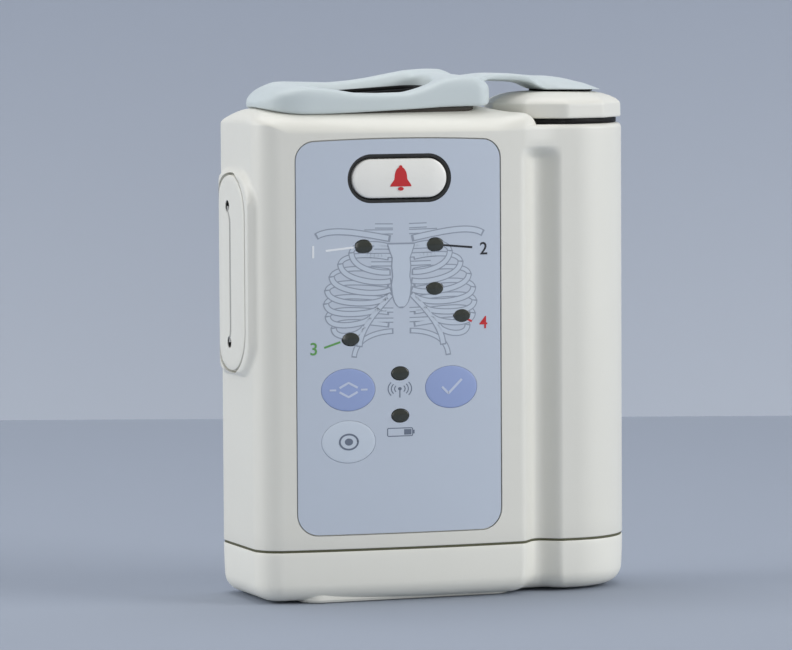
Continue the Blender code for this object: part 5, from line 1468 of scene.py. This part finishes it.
@dataclass
class Strap:
    """The rubber strap: an open loop on the case, and the tongue with its disc on the cap."""

    form: CaseForm = CaseForm()
    left: float = -0.0447
    right: float = 0.0128
    half_width: float = 0.012
    end_radius: float = 0.0118
    pad_power: float = 0.78
    post_radius: float = 0.004
    hole_x: float = -0.0144
    hole_length: float = 0.0306
    hole_width: float = 0.0116
    disc_x: float = 0.0356
    disc_radius: float = 0.009
    disc_low: float = 0.12108
    quarter_points: int = 60
    tongue_x: Triple = (0.0085, 0.0285, 0.033)
    join_reach: float = 0.003
    disc_rim: Triple = (0.0235, 0.006, 0.0031)
    bend: Pair = (0.0135, 0.0245)
    bend_z: float = 0.124
    sunk: float = 0.0003
    # How far across the loop the ring of painted shade in the gap reaches.
    gap_shade_half: float = 0.24
    behind_start: float = 0.0004
    behind_run: float = 0.003
    inner_run: float = 0.009
    pad_shift: float = 0.0006
    pad_rows: Stations = ((0.0074, 0.1207), (0.0077, 0.1208), (0.0077, 0.1212), (0.0074, 0.1213))
    lift: Stations = (
        (-0.046, 0.0), (-0.037, 0.0), (-0.029, 0.0001), (-0.0228, 0.0003), (-0.0113, 0.0008),
        (0.0004, 0.0013), (0.0079, 0.0014), (0.011, 0.001), (0.0128, 0.0006),
    )
    inner_rail: Stations = (
        (-0.0457, 0.119), (-0.0429, 0.1217), (-0.0394, 0.123), (-0.0345, 0.1235), (-0.03, 0.1229),
        (-0.027, 0.1224), (-0.0244, 0.1221), (-0.0188, 0.1218), (-0.0149, 0.1221), (-0.0098, 0.1227),
        (-0.0059, 0.1235), (-0.0041, 0.1243), (-0.002, 0.1251), (0.0003, 0.1256), (0.0027, 0.1256),
        (0.006, 0.1253), (0.0098, 0.1249), (0.0128, 0.1246),
    )
    back_rail: Stations = (
        (-0.0457, 0.119), (-0.0446, 0.1206), (-0.0429, 0.1217), (-0.0412, 0.1225), (-0.0394, 0.123),
        (-0.0362, 0.1238), (-0.0334, 0.1238), (-0.0221, 0.1234), (-0.0167, 0.1238), (-0.0121, 0.1244),
        (-0.007, 0.1253), (-0.0022, 0.1261), (0.0027, 0.1264), (0.0067, 0.1263), (0.0082, 0.1258),
        (0.0098, 0.1251), (0.0113, 0.1247), (0.0128, 0.1246),
    )
    front_rail: Stations = (
        (-0.0457, 0.1186), (-0.0446, 0.1204), (-0.0429, 0.1215), (-0.0412, 0.1223), (-0.0394, 0.1227),
        (-0.0362, 0.1231), (-0.033, 0.1229), (-0.0286, 0.1224), (-0.026, 0.122), (-0.0222, 0.1213),
        (-0.016, 0.1211), (-0.0091, 0.1212), (-0.0064, 0.1218), (-0.0038, 0.1226), (-0.0013, 0.1236),
        (0.0004, 0.1243), (0.004, 0.1249), (0.008, 0.125), (0.0112, 0.1247), (0.0128, 0.1245),
    )
    neck: Stations = (
        (0.0085, 0.0085), (0.012, 0.0075), (0.015, 0.0058), (0.019, 0.0055), (0.025, 0.0056),
        (0.029, 0.006), (0.032, 0.004),
    )
    tongue_top: Stations = (
        (0.0085, 0.1247), (0.0114, 0.125), (0.015, 0.1254), (0.021, 0.1252), (0.0244, 0.12485),
        (0.0274, 0.1246), (0.031, 0.1245), (0.0349, 0.124), (0.0371, 0.1234), (0.0402, 0.1227),
        (0.0428, 0.1217), (0.0447, 0.12115),
    )
    tongue_under: Stations = (
        (0.0085, 0.1205), (0.0115, 0.1226), (0.0135, 0.1236), (0.0159, 0.1234), (0.019, 0.1233),
        (0.0213, 0.12315), (0.0229, 0.123), (0.0245, 0.1226), (0.0258, 0.1221), (0.027, 0.1215),
        (0.0285, 0.1211), (0.0447, 0.1211),
    )

    def outer(self) -> Array:
        """The loop's outline from its right: a squarer post end and a round pad end, both powers."""
        turn, post = np.linspace(0, pi / 2, 30), self.post_radius
        post_x, post_y = self.right - post, self.half_width - post
        right = columns(post_x + post * np.sin(turn), -post_y - post * np.cos(turn))[::-1]
        pad_x = self.left + self.end_radius
        pad_side, pad_end = np.cos(turn) ** self.pad_power, np.sin(turn) ** self.pad_power
        pad = columns(pad_x - self.end_radius * pad_end, -self.half_width * pad_side)
        half = np.concatenate([[(self.right, 0.0)], right, [(self.hole_x, -self.half_width)], pad])
        return self._both_halves(half)

    def inner(self) -> Array:
        """The opening's outline: a stadium, from its right end."""
        turn = np.linspace(0, pi / 2, 30)
        radius = self.hole_width / 2
        straight = self.hole_length / 2 - radius
        right = columns(self.hole_x + straight + radius * np.cos(turn), -radius * np.sin(turn))
        left = columns(self.hole_x - straight - radius * np.sin(turn), -radius * np.cos(turn))
        return self._both_halves(np.concatenate([right, [(self.hole_x, -radius)], left]))

    def _both_halves(self, half: Array) -> Array:
        """Spreads points evenly over the two quarters of a half outline, then mirrors it to the back."""
        step = np.linalg.norm(np.diff(half, axis=0), axis=1)
        length = np.concatenate([[0], np.cumsum(step)])
        split = np.argmin(np.abs(half[:, 0] - self.hole_x) + (half[:, 1] > -1e-4) * 1.0)
        first = np.linspace(0, length[split], self.quarter_points, endpoint=False)
        second = np.linspace(length[split], length[-1], self.quarter_points + 1)
        at = np.concatenate([first, second])
        near = columns(np.interp(at, length, half[:, 0]), np.interp(at, length, half[:, 1]))
        return np.concatenate([near, near[1:-1][::-1] * (1, -1)])

    def crest(self, x: Array, y: Array) -> Array:
        """The loop's top: the front rail's curve, then the back rail's inner edge, then its crest."""
        front, inner = curve_through(x, self.front_rail), curve_through(x, self.inner_rail)
        back = curve_through(x, self.back_rail)
        behind = smooth_step((y - self.hole_width / 2 + self.behind_start) / self.behind_run)
        over = smooth_step((y + self.inner_run / 2) / self.inner_run)
        return front + (inner - front) * over + (back - inner) * behind

    def base(self, x: Array, y: Array) -> Array:
        """The loop's underside: the case's lid, with a gap that widens to the right."""
        return self.form.lid(x, y) + curve_through(x, self.lift)

    def _section(self, a: Array) -> tuple[Array, Array]:
        """Places of a ring of sections, from shares of the way from the opening to the outer edge."""
        outer, inner = self.outer(), self.inner()
        flat = inner[:, None, :] + (outer - inner)[:, None, :] * a[None, :, None]
        return flat[..., 0], flat[..., 1]

    def build_loop(self, rubber: Material) -> None:
        """The loop: a rounded section carried round the opening.

        Formula: across the section a runs from the opening to the outer edge and b from the base to
        the top, both a sine or cosine raised to a power under one; the power is larger over the outer
        half of the top, which makes that edge rounder.
        """
        turn = full_turn(48)
        round_edge = (np.cos(turn) > 0) & (np.sin(turn) > 0)
        a = (signed_power(np.cos(turn), np.where(round_edge, 0.8, 0.36)) + 1) / 2
        b = (signed_power(np.sin(turn), np.where(round_edge, 0.72, 0.34)) + 1) / 2
        x, y = self._section(a)
        base = self.base(x, y)
        z = base + (self.crest(x, y) - base) * b[None, :]
        maker = MeshMaker("strap_band").loop_of_rings(columns(x, y, z))
        dress(maker.piece(RUBBER_CRISP_DEG), "case", "strap_rubber", rubber, "strap_loop")

    def build_gap_shade(self, dark: Material) -> None:
        """A dark ring between the case and the loop, set in from the loop's edges: painted shade that fills
        the gap under the loop.
        """
        turn = full_turn(16)
        x, y = self._section(0.5 + self.gap_shade_half * signed_power(np.cos(turn), 0.4))
        b = (signed_power(np.sin(turn), 0.4) + 1) / 2
        low = self.form.lid(x, y) - self.sunk
        z = low + (self.base(x, y) + 2 * self.sunk - low) * b[None, :]
        maker = MeshMaker("strap_gap_shade_ring").loop_of_rings(columns(x, y, z))
        dress(maker.piece(RUBBER_CRISP_DEG), "case", "moulded_black", dark)

    def build_tongue(self, rubber: Material) -> None:
        """The tongue and the disc as one piece of rubber.

        Formula: at each x the half width is the rounded larger of the tongue's and of the disc's
        circle; the top and the underside are curves along x, and the section's corners are rounded.
        """
        start, flat_from, neck_end = self.tongue_x
        join_x = self.disc_x - 0.8 * self.disc_radius
        disc_x = self.disc_x + self.disc_radius * np.sin(np.linspace(-0.927, pi / 2 - 0.02, 60))
        x = np.concatenate([np.linspace(start, join_x, 80, endpoint=False), disc_x])
        circle = np.sqrt(np.maximum(self.disc_radius**2 - (x - self.disc_x) ** 2, 0.0))
        neck = np.where(x > neck_end, 0.0, curve_through(x, self.neck))
        half = np.where(x < self.disc_x, smooth_max(neck, circle, self.join_reach), circle)
        top, under = curve_through(x, self.tongue_top), curve_through(x, self.tongue_under)
        under = np.where(x > flat_from, self.disc_low, np.maximum(under, self.disc_low))
        rim_start, rim_run, rim_drop = self.disc_rim
        rim = smooth_step((x - rim_start) / rim_run) * rim_drop
        turn = full_turn(44)
        a, b = signed_power(np.cos(turn), 0.62), signed_power(np.sin(turn), 0.55)
        y = half[:, None] * a[None, :]
        drop = np.minimum(rim, (top - under) * 0.8)
        crown = top[:, None] - drop[:, None] * (np.abs(a) ** 2.4)[None, :]
        z = (crown + under[:, None]) / 2 + (crown - under[:, None]) / 2 * b[None, :]
        grid = columns(np.broadcast_to(x[:, None], y.shape), y, z)
        tongue = MeshMaker("strap_tongue_and_disc").rings(grid).piece(RUBBER_CRISP_DEG)
        tongue.data.materials.append(rubber)
        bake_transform(tongue)
        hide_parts("strap_tongue", "strap_disc")
        log.info("%s: %d faces, bends to strap_end", tongue.name, len(tongue.data.polygons))

    def build_pad_and_gap_shade(self, black: Material) -> None:
        """A thin black pad between the disc and the cap; its pitch black also paints the shade in the gap
        under the disc.
        """
        middle = (self.disc_x - self.pad_shift, 0.0)
        rows = [at_height(ellipse(middle, 2 * radius, 2 * radius), z) for radius, z in self.pad_rows]
        pad = MeshMaker("disc_pad_and_gap_shade").rings(rows).piece(SMALL_CRISP_DEG)
        dress(pad, "strap_end", "moulded_black", black)


# Finishes: what scuffs and dust do to a colour, and how much grain and scuffs change the roughness

SCUFF_TONE = 0.75
SCUFF_SHARE = 0.35
DUST_COLOUR = (0.55, 0.54, 0.51)
ROUGHNESS_SHARE = 0.25
RELIEF_STRENGTH = 0.6


class Grain(Enum):
    """The kinds of fine relief that a finish can have."""

    MOULDED = "moulded_grain"
    BRUSHED = "brushed_grain"
    SOFT = "soft_grain"


def new_group(name: str, inputs: dict[str, float], outputs: tuple[str, ...]) -> ShaderNodeTree:
    """An empty node group with named value sockets.

    Args:
        name: The group's name.
        inputs: Each input with its default.
        outputs: The outputs' names.

    Returns:
        The group.
    """
    group = bpy.data.node_groups.new(name, "ShaderNodeTree")
    for label, value in inputs.items():
        socket = group.interface.new_socket(label, in_out="INPUT", socket_type="NodeSocketFloat")
        socket.default_value = value
    for label in outputs:
        group.interface.new_socket(label, in_out="OUTPUT", socket_type="NodeSocketFloat")
    return group


@dataclass
class NodeBench:
    """Adds and links nodes in one tree."""

    tree: NodeTree

    def add(self, kind: str, **settings: object) -> Node:
        """A node with its plain settings."""
        node = self.tree.nodes.new(kind)
        for key, value in settings.items():
            setattr(node, key, value)
        return node

    def wire(self, source: Source, target: Node, entry: str | int) -> None:
        """Links a node's output to another node's entry."""
        self.tree.links.new(source[0].outputs[source[1]], target.inputs[entry])

    def preset(self, node: Node, **values: object) -> None:
        """Sets a node's sockets by their names, with underscores for spaces."""
        for name, value in values.items():
            node.inputs[name.replace("_", " ")].default_value = value

    def maths(self, operation: str, *values: float | Source, clamp: bool = False) -> Source:
        """A maths node's result, from numbers or other nodes' outputs."""
        node = self.add("ShaderNodeMath", operation=operation, use_clamp=clamp)
        for index, value in enumerate(values):
            if isinstance(value, tuple):
                self.wire(value, node, index)
            else:
                node.inputs[index].default_value = value
        return node, 0

    def noise(
        self, place: Source, scale: Source, times: float, detail: float, roughness: float = 0.55,
    ) -> Source:
        """A noise texture's result.

        Args:
            place: What gives its coordinates.
            scale: What gives its scale.
            times: What that scale is multiplied by.
            detail: The noise's detail.
            roughness: The noise's roughness.

        Returns:
            The output that gives the noise.
        """
        node = self.add("ShaderNodeTexNoise", noise_dimensions="3D")
        self.preset(node, Detail=detail, Roughness=roughness)
        self.wire(place, node, "Vector")
        self.wire(self.maths("MULTIPLY", scale, times), node, "Scale")
        return node, "Fac"

    def mix(self, factor: Source, first: Triple | Source, second: Triple) -> Source:
        """A mix of two colours, of which the first may be a node's output.

        Args:
            factor: What gives the second colour's share.
            first: The first colour.
            second: The second colour.

        Returns:
            The output that gives the mixed colour.
        """
        node = self.add("ShaderNodeMix", data_type="RGBA", blend_type="MIX")
        if isinstance(first[0], Node):
            self.wire(first, node, "A")
        else:
            self.preset(node, A=(*first, 1.0))
        self.preset(node, B=(*second, 1.0))
        self.wire(factor, node, "Factor")
        return node, "Result"


def grain_group(kind: Grain) -> ShaderNodeTree:
    """Fine relief: its height and how it changes the roughness.

    Formula: moulded grain is fine noise with small pits, brushed grain is noise drawn out along X,
    and soft grain is two noises of unlike size.
    """
    found = bpy.data.node_groups.get(kind.value)
    if found:
        return found
    group = new_group(kind.value, {"Scale": 3000.0, "Pits": 0.3}, ("Height", "Sheen"))
    bench = NodeBench(group)
    entry, leave = bench.add("NodeGroupInput"), bench.add("NodeGroupOutput")
    place, stretch = bench.add("ShaderNodeTexCoord"), bench.add("ShaderNodeMapping")
    bench.preset(stretch, Scale=(0.03, 1, 1) if kind is Grain.BRUSHED else (1, 1, 1))
    bench.wire((place, "Object"), stretch, "Vector")
    vector, scale = (stretch, "Vector"), (entry, "Scale")
    fine = bench.noise(vector, scale, 1, 3.0)
    coarse = bench.noise(vector, scale, 0.23 if kind is Grain.SOFT else 0.4, 2.0, 0.7)
    pits = bench.add("ShaderNodeTexVoronoi", feature="SMOOTH_F1")
    bench.wire(vector, pits, "Vector")
    bench.wire(bench.maths("MULTIPLY", scale, 0.7), pits, "Scale")
    pitted = bench.maths("MULTIPLY", (pits, "Distance"), (entry, "Pits"))
    summed = bench.maths("ADD", fine, bench.maths("MULTIPLY", coarse, 0.6))
    bench.wire(bench.maths("ADD", summed, pitted), leave, "Height")
    bench.wire(bench.maths("SUBTRACT", coarse, 0.5), leave, "Sheen")
    return group


def wear_group() -> ShaderNodeTree:
    """Traces of use: broad tone changes, fine scuffs and settled dust.

    Formula: the tone is a broad noise; scuffs are the narrow band where a stretched noise crosses its
    middle, kept where a second noise is high; dust gathers on faces that look up.
    """
    found = bpy.data.node_groups.get("traces_of_use")
    if found:
        return found
    group = new_group("traces_of_use", {"Size": 30.0, "Scuffs": 0.3, "Dust": 0.2}, ("Tone", "Scuff", "Dust"))
    bench = NodeBench(group)
    entry, leave = bench.add("NodeGroupInput"), bench.add("NodeGroupOutput")
    place, size = (bench.add("ShaderNodeTexCoord"), "Object"), (entry, "Size")
    tone = bench.noise(place, size, 1, 4.0, 0.6)
    bench.wire(bench.maths("SUBTRACT", tone, 0.5), leave, "Tone")
    turned = bench.add("ShaderNodeMapping")
    bench.preset(turned, Rotation=(0.3, 0.5, 0.7), Scale=(1.0, 0.25, 1.0))
    bench.wire(place, turned, "Vector")
    lines = bench.noise((turned, "Vector"), size, 14.0, 5.0, 0.65)
    off = bench.maths("ABSOLUTE", bench.maths("SUBTRACT", lines, 0.5))
    thin = bench.maths("SUBTRACT", 1.0, bench.maths("MULTIPLY", off, 60.0), clamp=True)
    where = bench.noise(place, size, 2.5, 2.0)
    patch = bench.maths("MULTIPLY", bench.maths("SUBTRACT", where, 0.55), 8.0, clamp=True)
    scuff = bench.maths("MULTIPLY", thin, patch)
    bench.wire(bench.maths("MULTIPLY", scuff, (entry, "Scuffs")), leave, "Scuff")
    facing, split = bench.add("ShaderNodeNewGeometry"), bench.add("ShaderNodeSeparateXYZ")
    bench.wire((facing, "Normal"), split, 0)
    up = bench.maths("MULTIPLY", bench.maths("SUBTRACT", (split, "Z"), 0.3), 1.2, clamp=True)
    speck = bench.maths("SUBTRACT", bench.noise(place, size, 40.0, 6.0, 0.75), 0.5)
    dust = bench.maths("MULTIPLY", up, bench.maths("MULTIPLY", speck, 4.0, clamp=True))
    bench.wire(bench.maths("MULTIPLY", dust, (entry, "Dust")), leave, "Dust")
    return group


@dataclass(frozen=True)
class Finish:
    """One surface finish: its colour, gloss, fine relief and traces of use."""

    name: str
    colour: Triple
    roughness: float
    grain: Grain = Grain.MOULDED
    grain_scale: float = 3000.0
    grain_depth: float = 0.00001
    pits: float = 0.3
    tone: float = 0.06
    scuffs: float = 0.25
    dust: float = 0.1
    metallic: float = 0.0
    coat: float = 0.0
    sheen: float = 0.0
    gloss: float = 0.5

    def build(self) -> Material:
        """Makes the material.

        Formula: the colour is brightened or dimmed by the tone, then mixed with a paler one by the
        scuffs and the dust; the roughness follows the grain's sheen, the scuffs and the dust.

        Returns:
            The material.
        """
        material = bpy.data.materials.new(self.name)
        material.use_nodes = True
        bench = NodeBench(material.node_tree)
        shader = material.node_tree.nodes["Principled BSDF"]
        bench.preset(
            shader, Metallic=self.metallic, Coat_Weight=self.coat, Sheen_Weight=self.sheen,
            Specular_IOR_Level=self.gloss,
        )
        grain, wear = bench.add("ShaderNodeGroup"), bench.add("ShaderNodeGroup")
        grain.node_tree, wear.node_tree = grain_group(self.grain), wear_group()
        bench.preset(grain, Scale=self.grain_scale, Pits=self.pits)
        bench.preset(wear, Scuffs=self.scuffs, Dust=self.dust)
        dim = tuple(c * (1 - self.tone) for c in self.colour)
        bright = tuple(min(1.0, c * (1 + self.tone)) for c in self.colour)
        pale = tuple(c + (SCUFF_TONE - c) * SCUFF_SHARE for c in self.colour)
        shade = bench.mix(bench.maths("ADD", (wear, "Tone"), 0.5), dim, bright)
        scuffed = bench.mix((wear, "Scuff"), shade, pale)
        bench.wire(bench.mix((wear, "Dust"), scuffed, DUST_COLOUR), shader, "Base Color")
        gloss = bench.maths("MULTIPLY", (grain, "Sheen"), ROUGHNESS_SHARE)
        worn = bench.maths("MULTIPLY", (wear, "Scuff"), ROUGHNESS_SHARE)
        rough = bench.maths("ADD", bench.maths("ADD", gloss, self.roughness), worn, clamp=True)
        bench.wire(rough, shader, "Roughness")
        bump = bench.add("ShaderNodeBump")
        bench.preset(bump, Strength=RELIEF_STRENGTH, Distance=self.grain_depth)
        bench.wire((grain, "Height"), bump, "Height")
        bench.wire((bump, "Normal"), shader, "Normal")
        return material


def printed(name: str, colour: Triple, roughness: float, tone: float, depth: float = 0.000003) -> Finish:
    """A printed ink's finish: fine grain, hardly scuffed."""
    return Finish(name, colour, roughness, grain_scale=6000, grain_depth=depth, tone=tone, scuffs=0.05)


def velvet(name: str, colour: Triple, roughness: float, tone: float) -> Finish:
    """The finish of the film and the keys: fine grain, lightly scuffed."""
    return replace(printed(name, colour, roughness, tone, 0.000005), scuffs=0.12)


CASE = Finish(
    "satin_case", (0.735, 0.728, 0.668), 0.42, grain_scale=3200, grain_depth=0.000012, tone=0.03, scuffs=0.3,
)
FINISHES: dict[str, Finish] = {
    "case": CASE,
    # Painted light: the case's plastic made lighter for the lower case and its foot, standing in for light
    # on the lower half.
    "case_painted_lighter_low": replace(CASE, name="satin_case_painted_light", colour=(0.8, 0.793, 0.728)),
    "button": Finish(
        "button_white", (0.84, 0.835, 0.79), 0.32,
        grain_scale=4500, grain_depth=0.000005, tone=0.02, scuffs=0.15,
    ),
    "film": velvet("velvet_film", (0.515, 0.573, 0.662), 0.4, 0.025),
    "rib_line": printed("rib_ink", (0.285, 0.325, 0.395), 0.45, 0.05, 0.000004),
    "rib_band": printed("rib_tint", (0.535, 0.6, 0.69), 0.42, 0.03, 0.000004),
    "blue": velvet("key_blue", (0.3, 0.38, 0.635), 0.38, 0.03),
    "pale": velvet("key_pale", (0.565, 0.63, 0.715), 0.38, 0.03),
    "smoked": Finish(
        "smoked_window", (0.03, 0.034, 0.026), 0.16,
        grain_scale=2500, grain_depth=0.000003, tone=0.1, coat=0.4,
    ),
    "black": Finish("moulded_black", (0.012, 0.013, 0.013), 0.45, grain_scale=3500, tone=0.1),
    "seal": Finish("olive_seal", (0.085, 0.085, 0.045), 0.7, Grain.SOFT, 2500, tone=0.15),
    "pitch": Finish(
        "pitch_black", (0.005, 0.005, 0.005), 0.8,
        grain_scale=3500, tone=0.1, scuffs=0.02, dust=0.0, gloss=0.1,
    ),
    # Painted shade: the grey of the strip that darkens the side cover's score.
    "grey": Finish(
        "score_painted_shade", (0.36, 0.36, 0.345), 0.6, grain_scale=3500, grain_depth=0.000005, tone=0.1,
    ),
    # Painted shade: the dark brown of the ring that fills the gap under the strap's loop.
    "strap_gap_shade": Finish("strap_gap_painted_shade", (0.04, 0.034, 0.026), 0.6, Grain.SOFT, 2500, tone=0.15),
    "seal_black": Finish(
        "black_seal", (0.006, 0.006, 0.006), 0.6, Grain.SOFT, 2500, tone=0.1, dust=0.0, gloss=0.2,
    ),
    "strap": Finish(
        "strap_rubber", (0.535, 0.599, 0.615), 0.52, Grain.SOFT, 2600, 0.000012,
        tone=0.05, scuffs=0.18, dust=0.22, sheen=0.15,
    ),
    "board": Finish(
        "solder_mask", (0.02, 0.15, 0.065), 0.45, grain_scale=1800, grain_depth=0.00002, tone=0.12,
    ),
    "steel": Finish(
        "plated_steel", (0.6, 0.6, 0.58), 0.32, Grain.BRUSHED, 2200, 0.000006, tone=0.08, metallic=1.0,
    ),
    "gold": Finish(
        "contact_gold", (0.8, 0.58, 0.24), 0.28, Grain.BRUSHED, 2600, 0.000004, tone=0.08, metallic=1.0,
    ),
    "wrap": Finish(
        "cell_wrap", (0.1, 0.11, 0.13), 0.3, grain_scale=1500, grain_depth=0.000006, tone=0.1, coat=0.3,
    ),
    "ink": printed("grey_ink", (0.14, 0.17, 0.23), 0.45, 0.05),
    "ink_pale": printed("pale_ink", (0.54, 0.6, 0.74), 0.42, 0.03),
    "ink_white": printed("white_ink", (0.8, 0.83, 0.86), 0.42, 0.03),
    "ink_black": printed("black_ink", (0.012, 0.014, 0.02), 0.42, 0.1),
    "ink_green": printed("green_ink", (0.115, 0.33, 0.085), 0.42, 0.05),
    "ink_red": printed("red_ink", (0.56, 0.018, 0.022), 0.4, 0.06),
}

NODE_FINISHES: dict[str, tuple[str, ...]] = {
    "black": ("battery_sleeve", "beeper", "call_switch", "service_connector"),
    "board": ("main_board",),
    "steel": (
        "radio_shield", "cap_contact", "cell_contact_spring", "cell_contact_plate", "select_key_dome",
        "check_key_dome", "record_key_dome", "board_screw_1", "board_screw_2",
        *(f"case_screw_{number}" for number in range(1, 5)), "strap_screw_1", "strap_screw_2",
    ),
    "gold": ("antenna_plate", *(f"lead_pin_{number}" for number in range(1, 6))),
    "wrap": ("battery_cell_front", "battery_cell_back"),
}


def dress_nodes(finishes: dict[str, Material]) -> None:
    """Gives each solid that stays its finish.

    Args:
        finishes: The built materials by key.
    """
    for key, names in NODE_FINISHES.items():
        for name in names:
            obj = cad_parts[name]
            for slot in obj.material_slots:
                slot.material = finishes[key]
            log.info("%s: finish %s", name, key)


@dataclass
class Studio:
    """The camera of the photograph, a pale floor and wall, and soft lamps."""

    eye: Triple = (-0.43147, -1.128, 0.15307)
    turn_deg: float = 20.57
    tilt_deg: float = 4.19
    roll_deg: float = 0.328
    lens: float = 227.3
    wall_distance: float = 1.664
    floor_colour: Triple = (0.322, 0.358, 0.424)
    wall_colour: Triple = (0.356, 0.394, 0.467)
    # Painted light: the wall's colour at its foot, lighter than higher up.
    wall_foot_painted_light: Triple = (0.495, 0.534, 0.6)
    wall_shown: float = 0.14
    half_width: float = 3.0
    aim: Triple = (0.0, 0.0, 0.06)
    surround: Quad = (0.98, 0.99, 1.0, 1.0)
    surround_strength: float = 0.41
    lamps: dict[str, tuple[Triple, float, float]] = field(default_factory=lambda: {
        "top_lamp": ((0.05, 0.4, 1.05), 0.9, 8.0),
        "front_lamp": ((-0.25, -0.95, 0.16), 0.3, 0.7),
        "left_lamp": ((-1.3, 0.25, 0.55), 0.9, 11.0),
        "right_lamp": ((1.05, -0.8, 0.55), 0.8, 12.4),
    })

    def camera(self) -> None:
        """Sets the camera at the photograph's viewing angle."""
        turn, tilt, roll = (radians(v) for v in (self.turn_deg, self.tilt_deg, self.roll_deg))
        level = cos(tilt)
        look = Vector((sin(turn) * level, cos(turn) * level, -sin(tilt)))
        right = Vector((cos(turn), -sin(turn), 0))
        up = right.cross(look)
        rolled_right = right * cos(roll) - up * sin(roll)
        rolled_up = up * cos(roll) + right * sin(roll)
        data = bpy.data.cameras.new("photo_camera")
        data.lens, data.sensor_width = self.lens, 36.0
        data.clip_start, data.clip_end = 0.01, 20.0
        camera = placed("photo_camera", data)
        axes = Matrix((rolled_right, rolled_up, -look)).transposed().to_4x4()
        camera.matrix_world = Matrix.Translation(self.eye) @ axes
        bpy.context.scene.camera = camera

    def plain(self, name: str, low: Triple, high: Triple) -> Material:
        """A matt material for the floor or the wall, which light and looks pass from behind; where low is
        lighter than high, the lighter foot is painted light.

        Args:
            name: The material's name.
            low: Its colour at the floor's height.
            high: Its colour at the top of what the camera sees of the wall.

        Returns:
            The material.
        """
        material = bpy.data.materials.new(name)
        material.use_nodes = True
        bench = NodeBench(material.node_tree)
        shader = material.node_tree.nodes["Principled BSDF"]
        bench.preset(shader, Roughness=0.9, Specular_IOR_Level=0.1)
        place, split = bench.add("ShaderNodeTexCoord"), bench.add("ShaderNodeSeparateXYZ")
        bench.wire((place, "Object"), split, 0)
        # Painted light: the colour eases from low to high over the wall's shown height.
        rise = bench.maths("DIVIDE", (split, "Z"), self.wall_shown, clamp=True)
        bench.wire(bench.mix(rise, low, high), shader, "Base Color")
        side, clear = bench.add("ShaderNodeNewGeometry"), bench.add("ShaderNodeBsdfTransparent")
        choice = bench.add("ShaderNodeMixShader")
        for entry, source in enumerate(((side, "Backfacing"), (shader, 0), (clear, 0))):
            bench.wire(source, choice, entry)
        bench.wire((choice, 0), material.node_tree.nodes["Material Output"], 0)
        return material

    def backdrop(self) -> None:
        """The floor and, behind it, a wall square to the view, whose foot is painted lighter: painted light.
        """
        turn = radians(self.turn_deg)
        ahead = np.array([sin(turn), cos(turn), 0.0])
        side = np.array([cos(turn), -sin(turn), 0.0]) * self.half_width
        up = np.array([0.0, 0.0, self.half_width])
        eye = np.array([*self.eye[:2], 0.0])
        near, far = eye - ahead, eye + ahead * self.wall_distance
        end = far + ahead * 2
        floor, painted_light_foot = self.floor_colour, self.wall_foot_painted_light
        for name, corners, low, high in (
            ("studio_floor", (near - side, near + side, end + side, end - side), floor, floor),
            (
                "studio_wall", (far - side, far + side, far + side + up, far - side + up),
                painted_light_foot, self.wall_colour,
            ),
        ):
            mesh = bpy.data.meshes.new(name)
            mesh.from_pydata([tuple(c) for c in corners], [], [(0, 1, 2, 3)])
            obj = placed(name, mesh)
            mesh.materials.append(self.plain(f"{name}_paint", low, high))

    def lights(self) -> None:
        """Soft square lamps that face the middle of the object, and an even surround."""
        for name, (place, size, power) in self.lamps.items():
            data = bpy.data.lights.new(name, "AREA")
            data.shape, data.size, data.energy = "SQUARE", size, power
            lamp = placed(name, data)
            lamp.location = place
            aim = Vector(self.aim) - Vector(place)
            lamp.rotation_euler = aim.to_track_quat("-Z", "Y").to_euler()
        world = bpy.data.worlds.new("surround")
        world.use_nodes = True
        back = world.node_tree.nodes["Background"]
        NodeBench(world.node_tree).preset(back, Color=self.surround, Strength=self.surround_strength)
        bpy.context.scene.world = world

    def build(self) -> None:
        """Makes the whole studio."""
        self.camera()
        self.backdrop()
        self.lights()
        bpy.context.scene.view_settings.view_transform = "Standard"


def main() -> None:
    """Builds each sub-assembly in order."""
    logging.basicConfig(level=logging.INFO, format="%(name)s %(message)s")
    finishes = {key: finish.build() for key, finish in FINISHES.items()}
    case, panel = Case(), Panel()
    case.build_shell(panel, finishes["case"])
    # The lower case and foot get the lighter copy of the case's finish: painted light.
    case.build_cover(finishes["case_painted_lighter_low"])
    case.build_side_cover(finishes["case"])
    case.build_cover_screws(finishes["pitch"])
    # Painted shade in the side cover's score.
    case.build_score_shade(finishes["grey"])
    case.build_seal(finishes["seal"])
    Socket().build(finishes["pitch"])
    panel.build_overlay(finishes["film"])
    panel.build_windows(finishes["smoked"])
    panel.build_keys(finishes["blue"], finishes["pale"])
    panel.build_button(finishes["button"], finishes["black"])
    prints = Prints(panel)
    prints.build_ribs(finishes["rib_line"], finishes["rib_band"])
    inks = {colour: finishes[f"ink_{colour}"] for colour in ("white", "black", "green", "red")}
    prints.build_leads(inks)
    prints.build_signs(finishes["ink"])
    prints.build_key_signs(finishes["ink"], finishes["ink_pale"])
    prints.build_bell(finishes["ink_red"])
    BatteryCap().build(finishes["case"], finishes["seal_black"])
    strap = Strap()
    strap.build_loop(finishes["strap"])
    # Painted shade: a dark ring in the gap under the loop.
    strap.build_gap_shade(finishes["strap_gap_shade"])
    strap.build_tongue(finishes["strap"])
    # A black pad under the disc that also paints the shade in the gap there.
    strap.build_pad_and_gap_shade(finishes["pitch"])
    dress_nodes(finishes)
    Studio().build()


if __name__ == "__main__":
    main()
